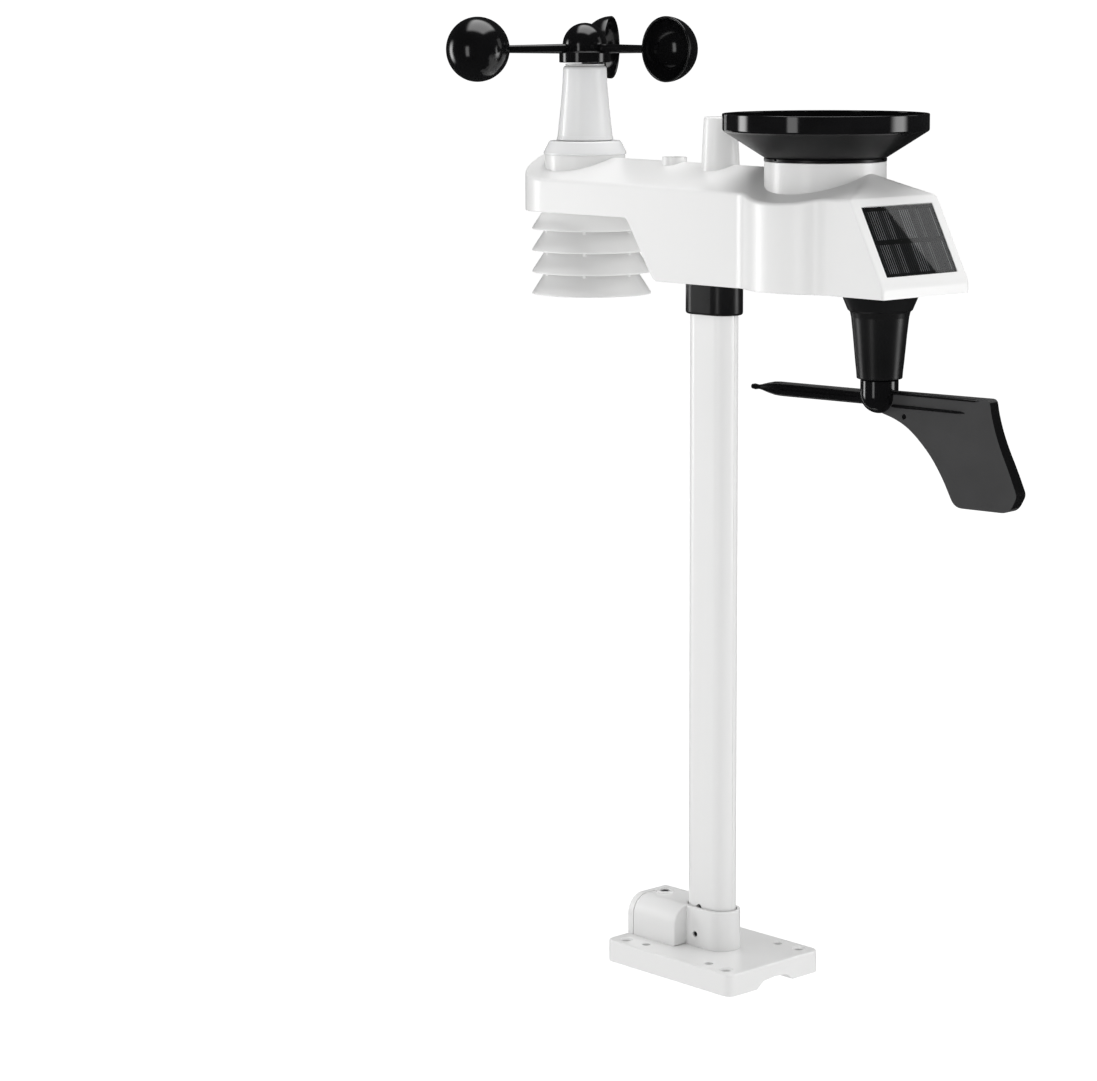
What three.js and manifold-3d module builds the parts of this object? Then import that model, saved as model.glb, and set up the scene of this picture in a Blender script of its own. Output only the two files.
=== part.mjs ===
// Outdoor weather station sensor head on an oval pole with a flat base bracket.
// Units are millimetres. Z is up, the pole axis is X = Y = 0 and the base plate's underside is Z = 0.
// +X runs from the pole towards the rain gauge and the solar panel, -X towards the wind cups.
import * as THREE from 'three';
import { mergeVertices } from 'three/addons/utils/BufferGeometryUtils.js';
import Module from 'manifold-3d';

const wasm = await Module();
wasm.setup();

// ---- fits ----
const SEAT_GAP = 0.05;
const FIT_GAP = 0.3;
const THROUGH = 60;

// ---- facets round a full turn: rims, bodies, and small fasteners and holes ----
const RIM_FACETS = 32;
const BODY_FACETS = 20;
const SMALL_FACETS = 8;

// ---- base plate ----
const PLATE_LENGTH = 100.6;
const PLATE_WIDTH = 75;
const PLATE_THICKNESS = 13;
const PLATE_CORNER = 5;
const OUTER_HOLE = { x: 40.5, y: 30, radius: 2.9 };
const INNER_HOLE = { x: 25.5, y: 28.5, radius: 2.45 };
const HOLE_SINK_RADIUS = 4.2;
const HOLE_SINK_DEPTH = 1.6;
const SADDLE_HALF_WIDTH = 15;
const SADDLE_FLAT_HALF_WIDTH = 8;
const SADDLE_DEPTH = 4.6;

// ---- oval pole ----
const POLE_RADIUS = 8.5;
const POLE_FLAT = 14.3;
const POLE_WALL = 1.8;
const POLE_BOTTOM = 17.3;
const POLE_TOP = 398.4;
const POLE_PIN_HOLE = { x: -2.5, z: 36, radius: 2 };

// ---- pole socket bracket ----
const SOCKET_RADIUS = 11.05;
const SOCKET_TOP = 36.2;
const SOCKET_FLOOR = 17;
const BARREL_START = -50;
const BARREL_END = -11;
const BARREL_HALF_WIDTH = 20;
const BARREL_CENTRE_Z = 25;
const BARREL_BORE_END = -20;
const BARREL_LIP = 4.6;
const BARREL_GROOVE = 0.7;
const WALL_SCREW_X = -39;
const WALL_BOSS_RADIUS = 5.2;
const LOCK_SCREW = { x: -3, z: 20.4, radius: 1.4 };
const BRACKET_SCREWS = [
  { x: -30, y: -17.2, seat: 3 },
  { x: -30, y: 17.2, seat: 3 },
  { x: 4, y: 0, seat: 8 },
];
const BRACKET_SHANK_TOP = 16.2;

// ---- mast collar ----
const COLLAR_BOTTOM = 380.5;
const COLLAR_SHOULDER = 400.1;
const COLLAR_TOP = 413.8;
const COLLAR_RADIUS = 11.15;
const COLLAR_NECK_RADIUS = 7;
const COLLAR_NECK_FLAT = 6;
const COLLAR_SCREW_Z = 389.8;

// ---- housing ----
const HALF_WIDTH = 35.1;
const WALL = 2.5;
const DEEP_BOTTOM = 400.3;
const THIN_BOTTOM = 434.9;
const RIDGE_Z = 464;
// Degrees by which the ridge rises towards the wind cups' end.
const RIDGE_LEAN = 0.64;
const ABOVE_ROOF = RIDGE_Z + 10;
const ROOF_SLOPE = 13 / 36;
const CUP_AXIS_X = -106.4;
// Beyond the wind cups' end, for tools that run past it.
const PAST_CUP_END = -200;
const RAIN_AXIS_X = 83.9;
const VANE_AXIS_X = 124.5;
const BULGE_RADIUS = 45;
const BULGE_FILLET = 18;
const END_X = 156.9;
const END_LIP_TOP = 406.4;
const FACE_TOP = { x: 133.5, z: 451.9 };
const HIP_TOP_X = 116.7;
const STEP_TOP_X = -35.7;
const STEP_BOTTOM_X = -13.9;
const STEP_ROUND = 6;
const TOWER_BASE_RADIUS = 23.6;
const TOWER_BASE_TOP = 467.5;
const NECK_RADIUS = 33.2;
const NECK_BORE = 30.7;
const NECK_LEDGE_BORE = 29;
const NECK_LEDGE_Z = 452;
const NECK_BOTTOM = 445;
const NECK_TOP = 469.6;
const ANTENNA_X = 4.5;
const ANTENNA_FOOT_RADIUS = 11;
const ANTENNA_TOP_RADIUS = 9.3;
const ANTENNA_TOP = 491.8;
const ANTENNA_BORE = 7.2;
const LEVEL_X = -32;
const LEVEL_RADIUS = 7.1;
const LEVEL_TOP = 468.2;
const LEVEL_POCKET_Z = 464.7;
const BOSS_RADIUS = 3;
const COVER_THICKNESS = 2.5;
const COVER_SCREWS = [
  { x: -3, y: -29.7 },
  { x: -3, y: 29.7 },
  { x: 142, y: -29.7 },
  { x: 142, y: 29.7 },
];
const BOARD_TOP = 445.9;
const BATTERY_Z = 412.8;
const BATTERIES_X = [64, 80];
const BOARD_POSTS = [
  { x: 38, y: -18 },
  { x: 38, y: 18 },
];

// ---- solar panel, set into the slanted end face ----
const PANEL_WIDTH = 56.6;
const PANEL_HEIGHT = 40.2;
const PANEL_DOWN_SLOPE = 24.8;
const PANEL_RECESS = 2.4;
const FACE_WALL = 5;

// ---- wind cups ----
const TOWER_BOTTOM = 475.8;
const TOWER_TOP = 519.2;
const TOWER_FOOT_RADIUS = 16.8;
const TOWER_HEAD_RADIUS = 12.7;
const ROTOR_Z = 529;
const CUP_COUNT = 3;
const CUP_ORBIT = 64.5;
const CUP_RADIUS = 18.8;
const CUP_WALL = 1.2;
const ARM_INSET = 1.5;
const ROTOR_HEADING = 1.8;
const DOME_RADIUS = 13;
const DOME_CENTRE_Z = ROTOR_Z + 2;
const SKIRT_RADIUS = 15;
const SKIRT_BOTTOM = 521;
const FLANGE_RADIUS = 24.3;
const FLANGE_TOP = 475.5;
const TOWER_RING_TOP = 520.2;
const SHAFT_RADIUS = 2;
const SHAFT_BORE = SHAFT_RADIUS + 0.1;
const ROTOR_SHAFT = { bottom: 465.5, top: 533 };
const BEARING_RADIUS = 7.5;
const BEARING_BORE = 2.3;
const BEARING_SEAT = 7.8;
const BEARING_HEIGHT = 4;
const ROTOR_BEARINGS_Z = { lower: 470.5, upper: 512.2 };
const MAGNET_LENGTH = 4;

// ---- rain gauge ----
const FUNNEL_RIM_RADIUS = 56.2;
const FUNNEL_RIM_Z = 495.4;
const FUNNEL_BAND_Z = 486;
const FUNNEL_FOOT_Z = 471.6;
const FUNNEL_WALL = 1.8;
const FUNNEL_SKIRT_RADIUS = NECK_BORE - 0.2;
const FUNNEL_SKIRT_BORE = FUNNEL_SKIRT_RADIUS - 1.7;
const LOCK_RING_TOP = FUNNEL_FOOT_Z - FIT_GAP;
const WELL_BOTTOM = 428;
const WELL_RADIUS = NECK_LEDGE_BORE - 0.4;
const WELL_WALL = 1.6;
const BUCKET_AXLE_Z = 440;
const BUCKET_TILT = 15;
const BUCKET_HALF_LENGTH = 20;
const BUCKET_WIDTH = 18;

// ---- wind vane ----
const VANE_HEADING = 6.5;
const STEM_BOTTOM = 354.1;
const STEM_STEP_Z = 391.3;
const HUB_RADIUS = 10.3;
const HUB_TOP = 353.5;
const HUB_CENTRE_Z = 345.5;
const ROD_Z = 343.5;
const ROD_RADIUS = 4.05;
const FIN_TOP = 348.1;
const VANE_BEARINGS_Z = { lower: STEM_BOTTOM + 5.3, upper: 389.8 };
const VANE_SHAFT_TOP = DEEP_BOTTOM + 3.5;
const NOSE_REACH = 86.4;

// ---- radiation shield ----
const SHIELD_X = -100.9;
const LOUVRE_LIP_Z = [424.3, 411.6, 398.9, 386.2];
const LOUVRE_HEIGHT = 13.8;
const TOP_LOUVRE_HEIGHT = 10.4;
const LOUVRE_LIP_RADIUS = 35.2;
const LOUVRE_TAPER = 0.64;
const LOUVRE_WALL = 1.5;
const LOUVRE_BORE = 20.5;
const PEG_COUNT = 6;
const PEG_RADIUS = 1.2;
const PEG_ORBIT = 27.5;
const PEG_TURN = 8;
const FLOOR_RADIUS = 29;
const FLOOR_BOTTOM = 387.6;
const FLOOR_TOP = 389.4;
const ROD_COUNT = 2;
const ROD_ORBIT = 23;

const colours = {
  white: { color: 0xf1f1ef, roughness: 0.4, metalness: 0 },
  smoke: { color: 0xe2e3e4, roughness: 0.35, metalness: 0 },
  gloss: { color: 0x0c0c0d, roughness: 0.12, metalness: 0 },
  satin: { color: 0x1b1b1c, roughness: 0.42, metalness: 0 },
  grey: { color: 0x3a3a3b, roughness: 0.5, metalness: 0 },
  steel: { color: 0xb9bcc0, roughness: 0.3, metalness: 1 },
  magnet: { color: 0x4c4d52, roughness: 0.4, metalness: 1 },
  board: { color: 0x1d6b3a, roughness: 0.5, metalness: 0 },
  cell: { color: 0x0b0d14, roughness: 0.25, metalness: 0 },
  glass: { color: 0x99a2ad, roughness: 0.05, metalness: 0 },
  battery: { color: 0x9a8035, roughness: 0.35, metalness: 0.6 },
};

// Turns a three.js geometry into a closed solid with its faces outwards.
function solid(geometry) {
  const bare = geometry.index ? geometry.toNonIndexed() : geometry.clone();
  bare.deleteAttribute('normal');
  bare.deleteAttribute('uv');
  const merged = mergeVertices(bare, 1e-4);
  const index = merged.index.array;
  const triangles = [];
  for (let i = 0; i < index.length; i += 3) {
    const [a, b, c] = [index[i], index[i + 1], index[i + 2]];
    if (a !== b && b !== c && c !== a) {
      triangles.push(a, b, c);
    }
  }
  const build = (triVerts) => new wasm.Manifold(new wasm.Mesh({
    numProp: 3,
    vertProperties: new Float32Array(merged.attributes.position.array),
    triVerts: new Uint32Array(triVerts),
  }));
  const first = build(triangles);
  if (first.volume() > 0) {
    return first;
  }
  for (let i = 0; i < triangles.length; i += 3) {
    [triangles[i + 1], triangles[i + 2]] = [triangles[i + 2], triangles[i + 1]];
  }
  return build(triangles);
}

function join(parts) {
  return parts.reduce((whole, part) => whole.add(part));
}

function cut(whole, tools) {
  return tools.reduce((rest, tool) => rest.subtract(tool), whole);
}

const move = (part, x, y, z) => part.translate([x, y, z]);
const radians = THREE.MathUtils.degToRad;
const points2d = (pairs) => pairs.map(([a, b]) => new THREE.Vector2(a, b));

// Solid of revolution about a vertical axis; each profile point is [radius, z].
function turned(profile, segments = BODY_FACETS, x = 0, y = 0) {
  const last = profile[profile.length - 1];
  const closed = profile[0][0] === 0 && last[0] === 0 ? profile : [...profile, profile[0]];
  const geometry = new THREE.LatheGeometry(points2d(closed), segments);
  geometry.rotateX(Math.PI / 2);
  return move(solid(geometry), x, y, 0);
}

const disc = (radius, z0, z1, x = 0, y = 0, segments = BODY_FACETS) =>
  turned([[0, z0], [radius, z0], [radius, z1], [0, z1]], segments, x, y);

const tube = (outer, inner, z0, z1, x = 0, y = 0, segments = BODY_FACETS) =>
  turned([[inner, z0], [outer, z0], [outer, z1], [inner, z1]], segments, x, y);

// Upright prism over a plan outline of [x, y] points.
function upright(outline, z0, z1) {
  const shape = new THREE.Shape(points2d(outline));
  const geometry = new THREE.ExtrudeGeometry(shape, { depth: z1 - z0, bevelEnabled: false });
  return move(solid(geometry), 0, 0, z0);
}

// Prism over a side outline of [x, z] points, between two Y values.
function sideways(outline, y0, y1) {
  const shape = new THREE.Shape(points2d(outline));
  const geometry = new THREE.ExtrudeGeometry(shape, { depth: y1 - y0, bevelEnabled: false });
  const turn = new THREE.Matrix4().makeBasis(
    new THREE.Vector3(1, 0, 0),
    new THREE.Vector3(0, 0, 1),
    new THREE.Vector3(0, -1, 0),
  );
  geometry.applyMatrix4(turn);
  return move(solid(geometry), 0, y1, 0);
}

// Prism over a section outline of [y, z] points, between two X values.
function lengthways(outline, x0, x1) {
  const shape = new THREE.Shape(points2d(outline));
  const geometry = new THREE.ExtrudeGeometry(shape, { depth: x1 - x0, bevelEnabled: false });
  const turn = new THREE.Matrix4().makeBasis(
    new THREE.Vector3(0, 1, 0),
    new THREE.Vector3(0, 0, 1),
    new THREE.Vector3(1, 0, 0),
  );
  geometry.applyMatrix4(turn);
  return move(solid(geometry), x0, 0, 0);
}

// Box from its two corners.
function block([x0, y0, z0], [x1, y1, z1]) {
  const box = new THREE.BoxGeometry(x1 - x0, y1 - y0, z1 - z0);
  return move(solid(box), (x0 + x1) / 2, (y0 + y1) / 2, (z0 + z1) / 2);
}

// Points along an arc, angles in degrees, both ends included.
function arc(cx, cy, radius, from, to, steps) {
  return Array.from({ length: steps + 1 }, (_, i) => {
    const angle = radians(from + ((to - from) * i) / steps);
    return [cx + radius * Math.cos(angle), cy + radius * Math.sin(angle)];
  });
}

// Oval outline: two half circles joined by a flat along X.
function oval(radius, flat = POLE_FLAT, steps = 9) {
  return [
    ...arc(flat / 2, 0, radius, -90, 90, steps),
    ...arc(-flat / 2, 0, radius, 90, 270, steps),
  ];
}

function roundedRectangle(length, width, corner, steps = 3) {
  const x = length / 2 - corner;
  const y = width / 2 - corner;
  return [
    ...arc(x, -y, corner, -90, 0, steps),
    ...arc(x, y, corner, 0, 90, steps),
    ...arc(-x, y, corner, 90, 180, steps),
    ...arc(-x, -y, corner, 180, 270, steps),
  ];
}

// Round bar along Y through (x, z).
function crossBar(radius, y0, y1, x, z, segments = SMALL_FACETS) {
  return move(disc(radius, y0, y1, 0, 0, segments).rotate([-90, 0, 0]), x, 0, z);
}

// Screw standing head up: the head's underside is z = 0 and the shank points down.
function screw(headRadius, headHeight, shankRadius, shankLength) {
  const socket = headRadius * 0.45;
  return turned([
    [0, -shankLength],
    [shankRadius, -shankLength],
    [shankRadius, 0],
    [headRadius, 0],
    [headRadius * 0.9, headHeight],
    [socket, headHeight],
    [0, headHeight * 0.35],
  ], SMALL_FACETS);
}

const root = new THREE.Group();
root.name = 'weather_station';

// Adds one closed body to the assembly as a named mesh.
function add(name, body, look) {
  const mesh = body.getMesh();
  const geometry = new THREE.BufferGeometry();
  const stride = mesh.numProp;
  const positions = new Float32Array((mesh.vertProperties.length / stride) * 3);
  for (let i = 0; i < positions.length / 3; i += 1) {
    for (let k = 0; k < 3; k += 1) {
      positions[i * 3 + k] = mesh.vertProperties[i * stride + k];
    }
  }
  geometry.setAttribute('position', new THREE.BufferAttribute(positions, 3));
  geometry.setIndex(Array.from(mesh.triVerts));
  geometry.computeVertexNormals();
  const node = new THREE.Mesh(geometry, new THREE.MeshStandardMaterial(look));
  node.name = name;
  root.add(node);
}

// ---- base plate ----
function plateHole({ x, y, radius }) {
  return turned([
    [0, -1],
    [radius, -1],
    [radius, PLATE_THICKNESS - HOLE_SINK_DEPTH],
    [HOLE_SINK_RADIUS, PLATE_THICKNESS + 0.01],
    [0, PLATE_THICKNESS + 0.01],
  ], 12, x, y);
}

function basePlate() {
  const plate = upright(roundedRectangle(PLATE_LENGTH, PLATE_WIDTH, PLATE_CORNER), 0, PLATE_THICKNESS);
  const saddle = lengthways([
    [-SADDLE_HALF_WIDTH, -1],
    [SADDLE_HALF_WIDTH, -1],
    [SADDLE_HALF_WIDTH, 0],
    [SADDLE_FLAT_HALF_WIDTH, SADDLE_DEPTH],
    [-SADDLE_FLAT_HALF_WIDTH, SADDLE_DEPTH],
    [-SADDLE_HALF_WIDTH, 0],
  ], -PLATE_LENGTH, PLATE_LENGTH);
  const holes = [];
  for (const hole of [OUTER_HOLE, INNER_HOLE]) {
    for (const sideX of [-1, 1]) {
      for (const sideY of [-1, 1]) {
        holes.push(plateHole({ x: hole.x * sideX, y: hole.y * sideY, radius: hole.radius }));
      }
    }
  }
  for (const { x, y, seat } of BRACKET_SCREWS) {
    holes.push(disc(1.5, -1, PLATE_THICKNESS + 1, x, y, SMALL_FACETS));
    holes.push(disc(2.6, -1, seat, x, y, SMALL_FACETS));
  }
  return cut(plate, [saddle, ...holes]);
}

// ---- socket bracket: upright oval socket and a horizontal one for a wall mount ----
function barrelSection(halfWidth, halfHeight, foot) {
  const corner = halfHeight;
  const flat = halfWidth - corner;
  return [
    [halfWidth, foot],
    ...arc(flat, BARREL_CENTRE_Z, corner, 0, 90, 6),
    ...arc(-flat, BARREL_CENTRE_Z, corner, 90, 180, 6),
    [-halfWidth, foot],
  ];
}

function socketBracket() {
  const foot = PLATE_THICKNESS + SEAT_GAP;
  const half = SOCKET_TOP - BARREL_CENTRE_Z;
  const column = upright(oval(SOCKET_RADIUS), foot, SOCKET_TOP);
  const barrel = lengthways(barrelSection(BARREL_HALF_WIDTH, half, foot), BARREL_START, BARREL_END);
  const bossTop = SOCKET_TOP + 0.9;
  const boss = disc(WALL_BOSS_RADIUS, SOCKET_TOP - 2, bossTop, WALL_SCREW_X, 0, 16);
  const bore = POLE_RADIUS + FIT_GAP;
  const wallBore = [
    ...arc(POLE_FLAT / 2, BARREL_CENTRE_Z, bore, -90, 90, 8),
    ...arc(-POLE_FLAT / 2, BARREL_CENTRE_Z, bore, 90, 270, 8),
  ];
  const grooveX = BARREL_START + BARREL_LIP;
  const grooveOuter = lengthways(
    barrelSection(BARREL_HALF_WIDTH + 1, half + 1, foot - 1), grooveX, grooveX + BARREL_GROOVE);
  const grooveInner = lengthways(
    barrelSection(BARREL_HALF_WIDTH - 0.8, half - 0.8, foot - 2), grooveX - 1, grooveX + 2);
  const tools = [
    upright(oval(bore), SOCKET_FLOOR, SOCKET_TOP + 1),
    lengthways(wallBore, BARREL_START - 1, BARREL_BORE_END),
    grooveOuter.subtract(grooveInner),
    disc(3, SOCKET_TOP - 0.8, bossTop + 1, WALL_SCREW_X, 0, 12),
    disc(1.6, BARREL_CENTRE_Z, bossTop, WALL_SCREW_X, 0, SMALL_FACETS),
    crossBar(LOCK_SCREW.radius + FIT_GAP, -THROUGH, -POLE_RADIUS, LOCK_SCREW.x, LOCK_SCREW.z),
  ];
  for (const { x, y } of BRACKET_SCREWS) {
    tools.push(disc(1.35, foot - 1, BRACKET_SHANK_TOP + FIT_GAP, x, y, SMALL_FACETS));
  }
  return cut(join([column, barrel, boss]), tools);
}

function bracketScrew({ x, y, seat }) {
  const shank = BRACKET_SHANK_TOP - seat;
  return move(screw(2.3, 1.6, 1.1, shank).rotate([180, 0, 0]), x, y, seat - SEAT_GAP);
}

// ---- pole and mast collar ----
function pole() {
  const outer = upright(oval(POLE_RADIUS), POLE_BOTTOM, POLE_TOP);
  const bore = upright(oval(POLE_RADIUS - POLE_WALL), POLE_BOTTOM - 1, POLE_TOP + 1);
  const pin = POLE_PIN_HOLE;
  return cut(outer, [
    bore,
    crossBar(pin.radius, -THROUGH, 0, pin.x, pin.z),
    crossBar(LOCK_SCREW.radius + FIT_GAP, -THROUGH, 0, LOCK_SCREW.x, LOCK_SCREW.z),
    crossBar(1.8, 0, THROUGH, 0, COLLAR_SCREW_Z),
  ]);
}

function mastCollar() {
  const chamfer = 1.4;
  const skirt = upright(oval(COLLAR_RADIUS), COLLAR_BOTTOM + chamfer, COLLAR_SHOULDER);
  const edge = upright(oval(COLLAR_RADIUS - 0.9), COLLAR_BOTTOM, COLLAR_BOTTOM + chamfer + 0.1);
  const neck = upright(oval(COLLAR_NECK_RADIUS, COLLAR_NECK_FLAT), COLLAR_SHOULDER - 0.5, COLLAR_TOP);
  return cut(join([skirt, edge, neck]), [
    upright(oval(POLE_RADIUS + FIT_GAP), COLLAR_BOTTOM - 1, POLE_TOP + FIT_GAP),
    crossBar(1.8, 0, THROUGH, 0, COLLAR_SCREW_Z),
  ]);
}

// ---- housing ----
// Plan outline of the housing, pulled in by an inset.
function housingOutline(inset, endX = END_X) {
  const half = HALF_WIDTH - inset;
  const bulge = BULGE_RADIUS - inset;
  const fillet = BULGE_FILLET + inset;
  const rise = half + fillet;
  const run = Math.sqrt((bulge + fillet) ** 2 - rise ** 2);
  const lean = THREE.MathUtils.radToDeg(Math.atan2(rise, run));
  const left = RAIN_AXIS_X - run;
  const right = RAIN_AXIS_X + run;
  return [
    ...arc(left, -rise, fillet, 90, lean, 4),
    ...arc(RAIN_AXIS_X, 0, bulge, 180 + lean, 360 - lean, 9).slice(1),
    ...arc(right, -rise, fillet, 180 - lean, 90, 4).slice(1),
    [endX, -half],
    [endX, half],
    ...arc(right, rise, fillet, 270, 180 + lean, 4),
    ...arc(RAIN_AXIS_X, 0, bulge, lean, 180 - lean, 9).slice(1),
    ...arc(left, rise, fillet, 360 - lean, 270, 4).slice(1),
    ...arc(CUP_AXIS_X, 0, half, 90, 270, 18),
  ];
}

// Everything under the gabled roof, whose ridge rises slightly from the hip to the wind cups' end.
function underRoof(lowered) {
  const ridge = RIDGE_Z - lowered;
  const foot = DEEP_BOTTOM - 20;
  const spread = (ridge - foot) / ROOF_SLOPE;
  const gable = lengthways([[-spread, foot], [spread, foot], [0, ridge]], PAST_CUP_END, END_X + 20);
  const level = move(gable, -HIP_TOP_X, 0, -RIDGE_Z);
  return move(level.rotate([0, RIDGE_LEAN, 0]), HIP_TOP_X, 0, RIDGE_Z);
}

// Rounds the two corners of the step between the thin end and the deep end.
function stepCorners(topX, topZ, bottomX, bottomZ, round) {
  const lean = THREE.MathUtils.radToDeg(Math.atan2(topZ - bottomZ, bottomX - topX));
  const pull = round * Math.tan(radians(lean / 2));
  return [
    ...arc(topX - pull, topZ - round, round, 90, 90 - lean, 4),
    ...arc(bottomX + pull, bottomZ + round, round, 270 - lean, 270, 4),
  ];
}

function housingOuter() {
  const side = [
    [PAST_CUP_END, THIN_BOTTOM],
    ...stepCorners(STEP_TOP_X, THIN_BOTTOM, STEP_BOTTOM_X, DEEP_BOTTOM, STEP_ROUND),
    [END_X, DEEP_BOTTOM],
    [END_X, END_LIP_TOP],
    [FACE_TOP.x, FACE_TOP.z],
    [HIP_TOP_X, RIDGE_Z],
    [PAST_CUP_END, ABOVE_ROOF],
  ];
  const body = upright(housingOutline(0), DEEP_BOTTOM - 1, ABOVE_ROOF);
  return body.intersect(sideways(side, -THROUGH, THROUGH)).intersect(underRoof(0));
}

function housingCavity() {
  const stepRun = WALL * 1.2;
  const innerFaceTop = [FACE_TOP.x - FACE_WALL, FACE_TOP.z - WALL];
  const innerFaceFoot = [END_X - FACE_WALL, END_LIP_TOP - WALL];
  const side = [
    [PAST_CUP_END, THIN_BOTTOM + WALL],
    [STEP_TOP_X + stepRun, THIN_BOTTOM + WALL],
    [STEP_BOTTOM_X + stepRun, DEEP_BOTTOM + WALL],
    [STEP_BOTTOM_X + stepRun, DEEP_BOTTOM - 5],
    [END_X - WALL, DEEP_BOTTOM - 5],
    [END_X - WALL, DEEP_BOTTOM + WALL],
    innerFaceFoot,
    innerFaceTop,
    [HIP_TOP_X - WALL, RIDGE_Z],
    [PAST_CUP_END, ABOVE_ROOF],
  ];
  const body = upright(housingOutline(WALL), DEEP_BOTTOM - 10, ABOVE_ROOF);
  return body.intersect(sideways(side, -THROUGH, THROUGH)).intersect(underRoof(WALL * 1.1));
}

// Slab lying in the slanted end face; depths are measured inwards from the face.
function faceSlab(width, height, depth0, depth1) {
  const lean = Math.atan2(END_X - FACE_TOP.x, FACE_TOP.z - END_LIP_TOP);
  const box = new THREE.BoxGeometry(depth1 - depth0, width, height);
  box.translate(-(depth0 + depth1) / 2, 0, -PANEL_DOWN_SLOPE);
  box.rotateY(-lean);
  return move(solid(box), FACE_TOP.x, 0, FACE_TOP.z);
}

function housingShell() {
  const outer = housingOuter();
  const hollow = outer.subtract(housingCavity());
  const insides = [
    disc(NECK_RADIUS, NECK_BOTTOM, NECK_LEDGE_Z, RAIN_AXIS_X, 0, RIM_FACETS),
    disc(TOWER_BASE_RADIUS, TOWER_BASE_TOP - 16, TOWER_BASE_TOP - 6, CUP_AXIS_X, 0, BODY_FACETS),
    ...COVER_SCREWS.map(({ x, y }) => disc(BOSS_RADIUS, DEEP_BOTTOM + 3, RIDGE_Z, x, y, SMALL_FACETS)),
    ...BOARD_POSTS.map(({ x, y }) => disc(2, BOARD_TOP + 0.1, RIDGE_Z, x, y, SMALL_FACETS)),
  ].map((part) => part.intersect(outer));
  const risers = [
    disc(NECK_RADIUS, NECK_LEDGE_Z - 2, NECK_TOP, RAIN_AXIS_X, 0, RIM_FACETS),
    disc(TOWER_BASE_RADIUS, TOWER_BASE_TOP - 10, TOWER_BASE_TOP, CUP_AXIS_X, 0, BODY_FACETS),
    disc(LEVEL_RADIUS, LEVEL_POCKET_Z - 2, LEVEL_TOP, LEVEL_X, 0, 20),
  ];
  const pilot = COVER_SCREWS.map(({ x, y }) => disc(1.4, DEEP_BOTTOM - 5, DEEP_BOTTOM + 12, x, y, 8));
  const tools = [
    disc(NECK_BORE, NECK_LEDGE_Z, ABOVE_ROOF, RAIN_AXIS_X, 0, RIM_FACETS),
    disc(NECK_LEDGE_BORE, NECK_BOTTOM - 5, RIDGE_Z, RAIN_AXIS_X, 0, RIM_FACETS),
    disc(TOWER_BASE_RADIUS - WALL, TOWER_BASE_TOP - 20, ABOVE_ROOF, CUP_AXIS_X, 0, BODY_FACETS),
    disc(ANTENNA_BORE, RIDGE_Z - 10, ABOVE_ROOF, ANTENNA_X, 0, 12),
    disc(LEVEL_RADIUS - 1.2, LEVEL_POCKET_Z, LEVEL_TOP + 1, LEVEL_X, 0, 20),
    faceSlab(PANEL_WIDTH + 2 * FIT_GAP, PANEL_HEIGHT + 2 * FIT_GAP, -2, PANEL_RECESS),
    ...pilot,
  ];
  return cut(join([hollow, ...insides, ...risers]), tools);
}

// Hollow post over the radio antenna, standing on the roof.
function antennaPost() {
  const post = turned([
    [0, RIDGE_Z - 8],
    [ANTENNA_FOOT_RADIUS + 0.3, RIDGE_Z - 8],
    [ANTENNA_TOP_RADIUS, ANTENNA_TOP - 1],
    [ANTENNA_TOP_RADIUS - 1, ANTENNA_TOP],
    [0, ANTENNA_TOP],
  ], BODY_FACETS, ANTENNA_X);
  const bore = disc(ANTENNA_BORE, RIDGE_Z - 10, ANTENNA_TOP - WALL, ANTENNA_X, 0, 12);
  return cut(post, [underRoof(-SEAT_GAP), bore]);
}

// ---- bottom cover, with the battery door and the reset button in it ----
const COVER_BOTTOM = DEEP_BOTTOM + 0.1;
const COVER_TOP = COVER_BOTTOM + COVER_THICKNESS;
const COVER_LEFT = STEP_BOTTOM_X + 3.4;
const DOOR = { x0: 50, x1: 94, halfWidth: 28, hingeGap: 0.8 };
const DOOR_HINGE_X = DOOR.x0 + 1.3;
const DOOR_HINGE_Z = (COVER_BOTTOM + COVER_TOP) / 2;
const DOOR_SCREW_X = DOOR.x1 - 5;
// The door's lower edge swings past the hinge side of the opening.
const DOOR_SWING_ROOM = 0.4;
const BUTTON = { x: 36, y: -14, radius: 2.6 };

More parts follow.
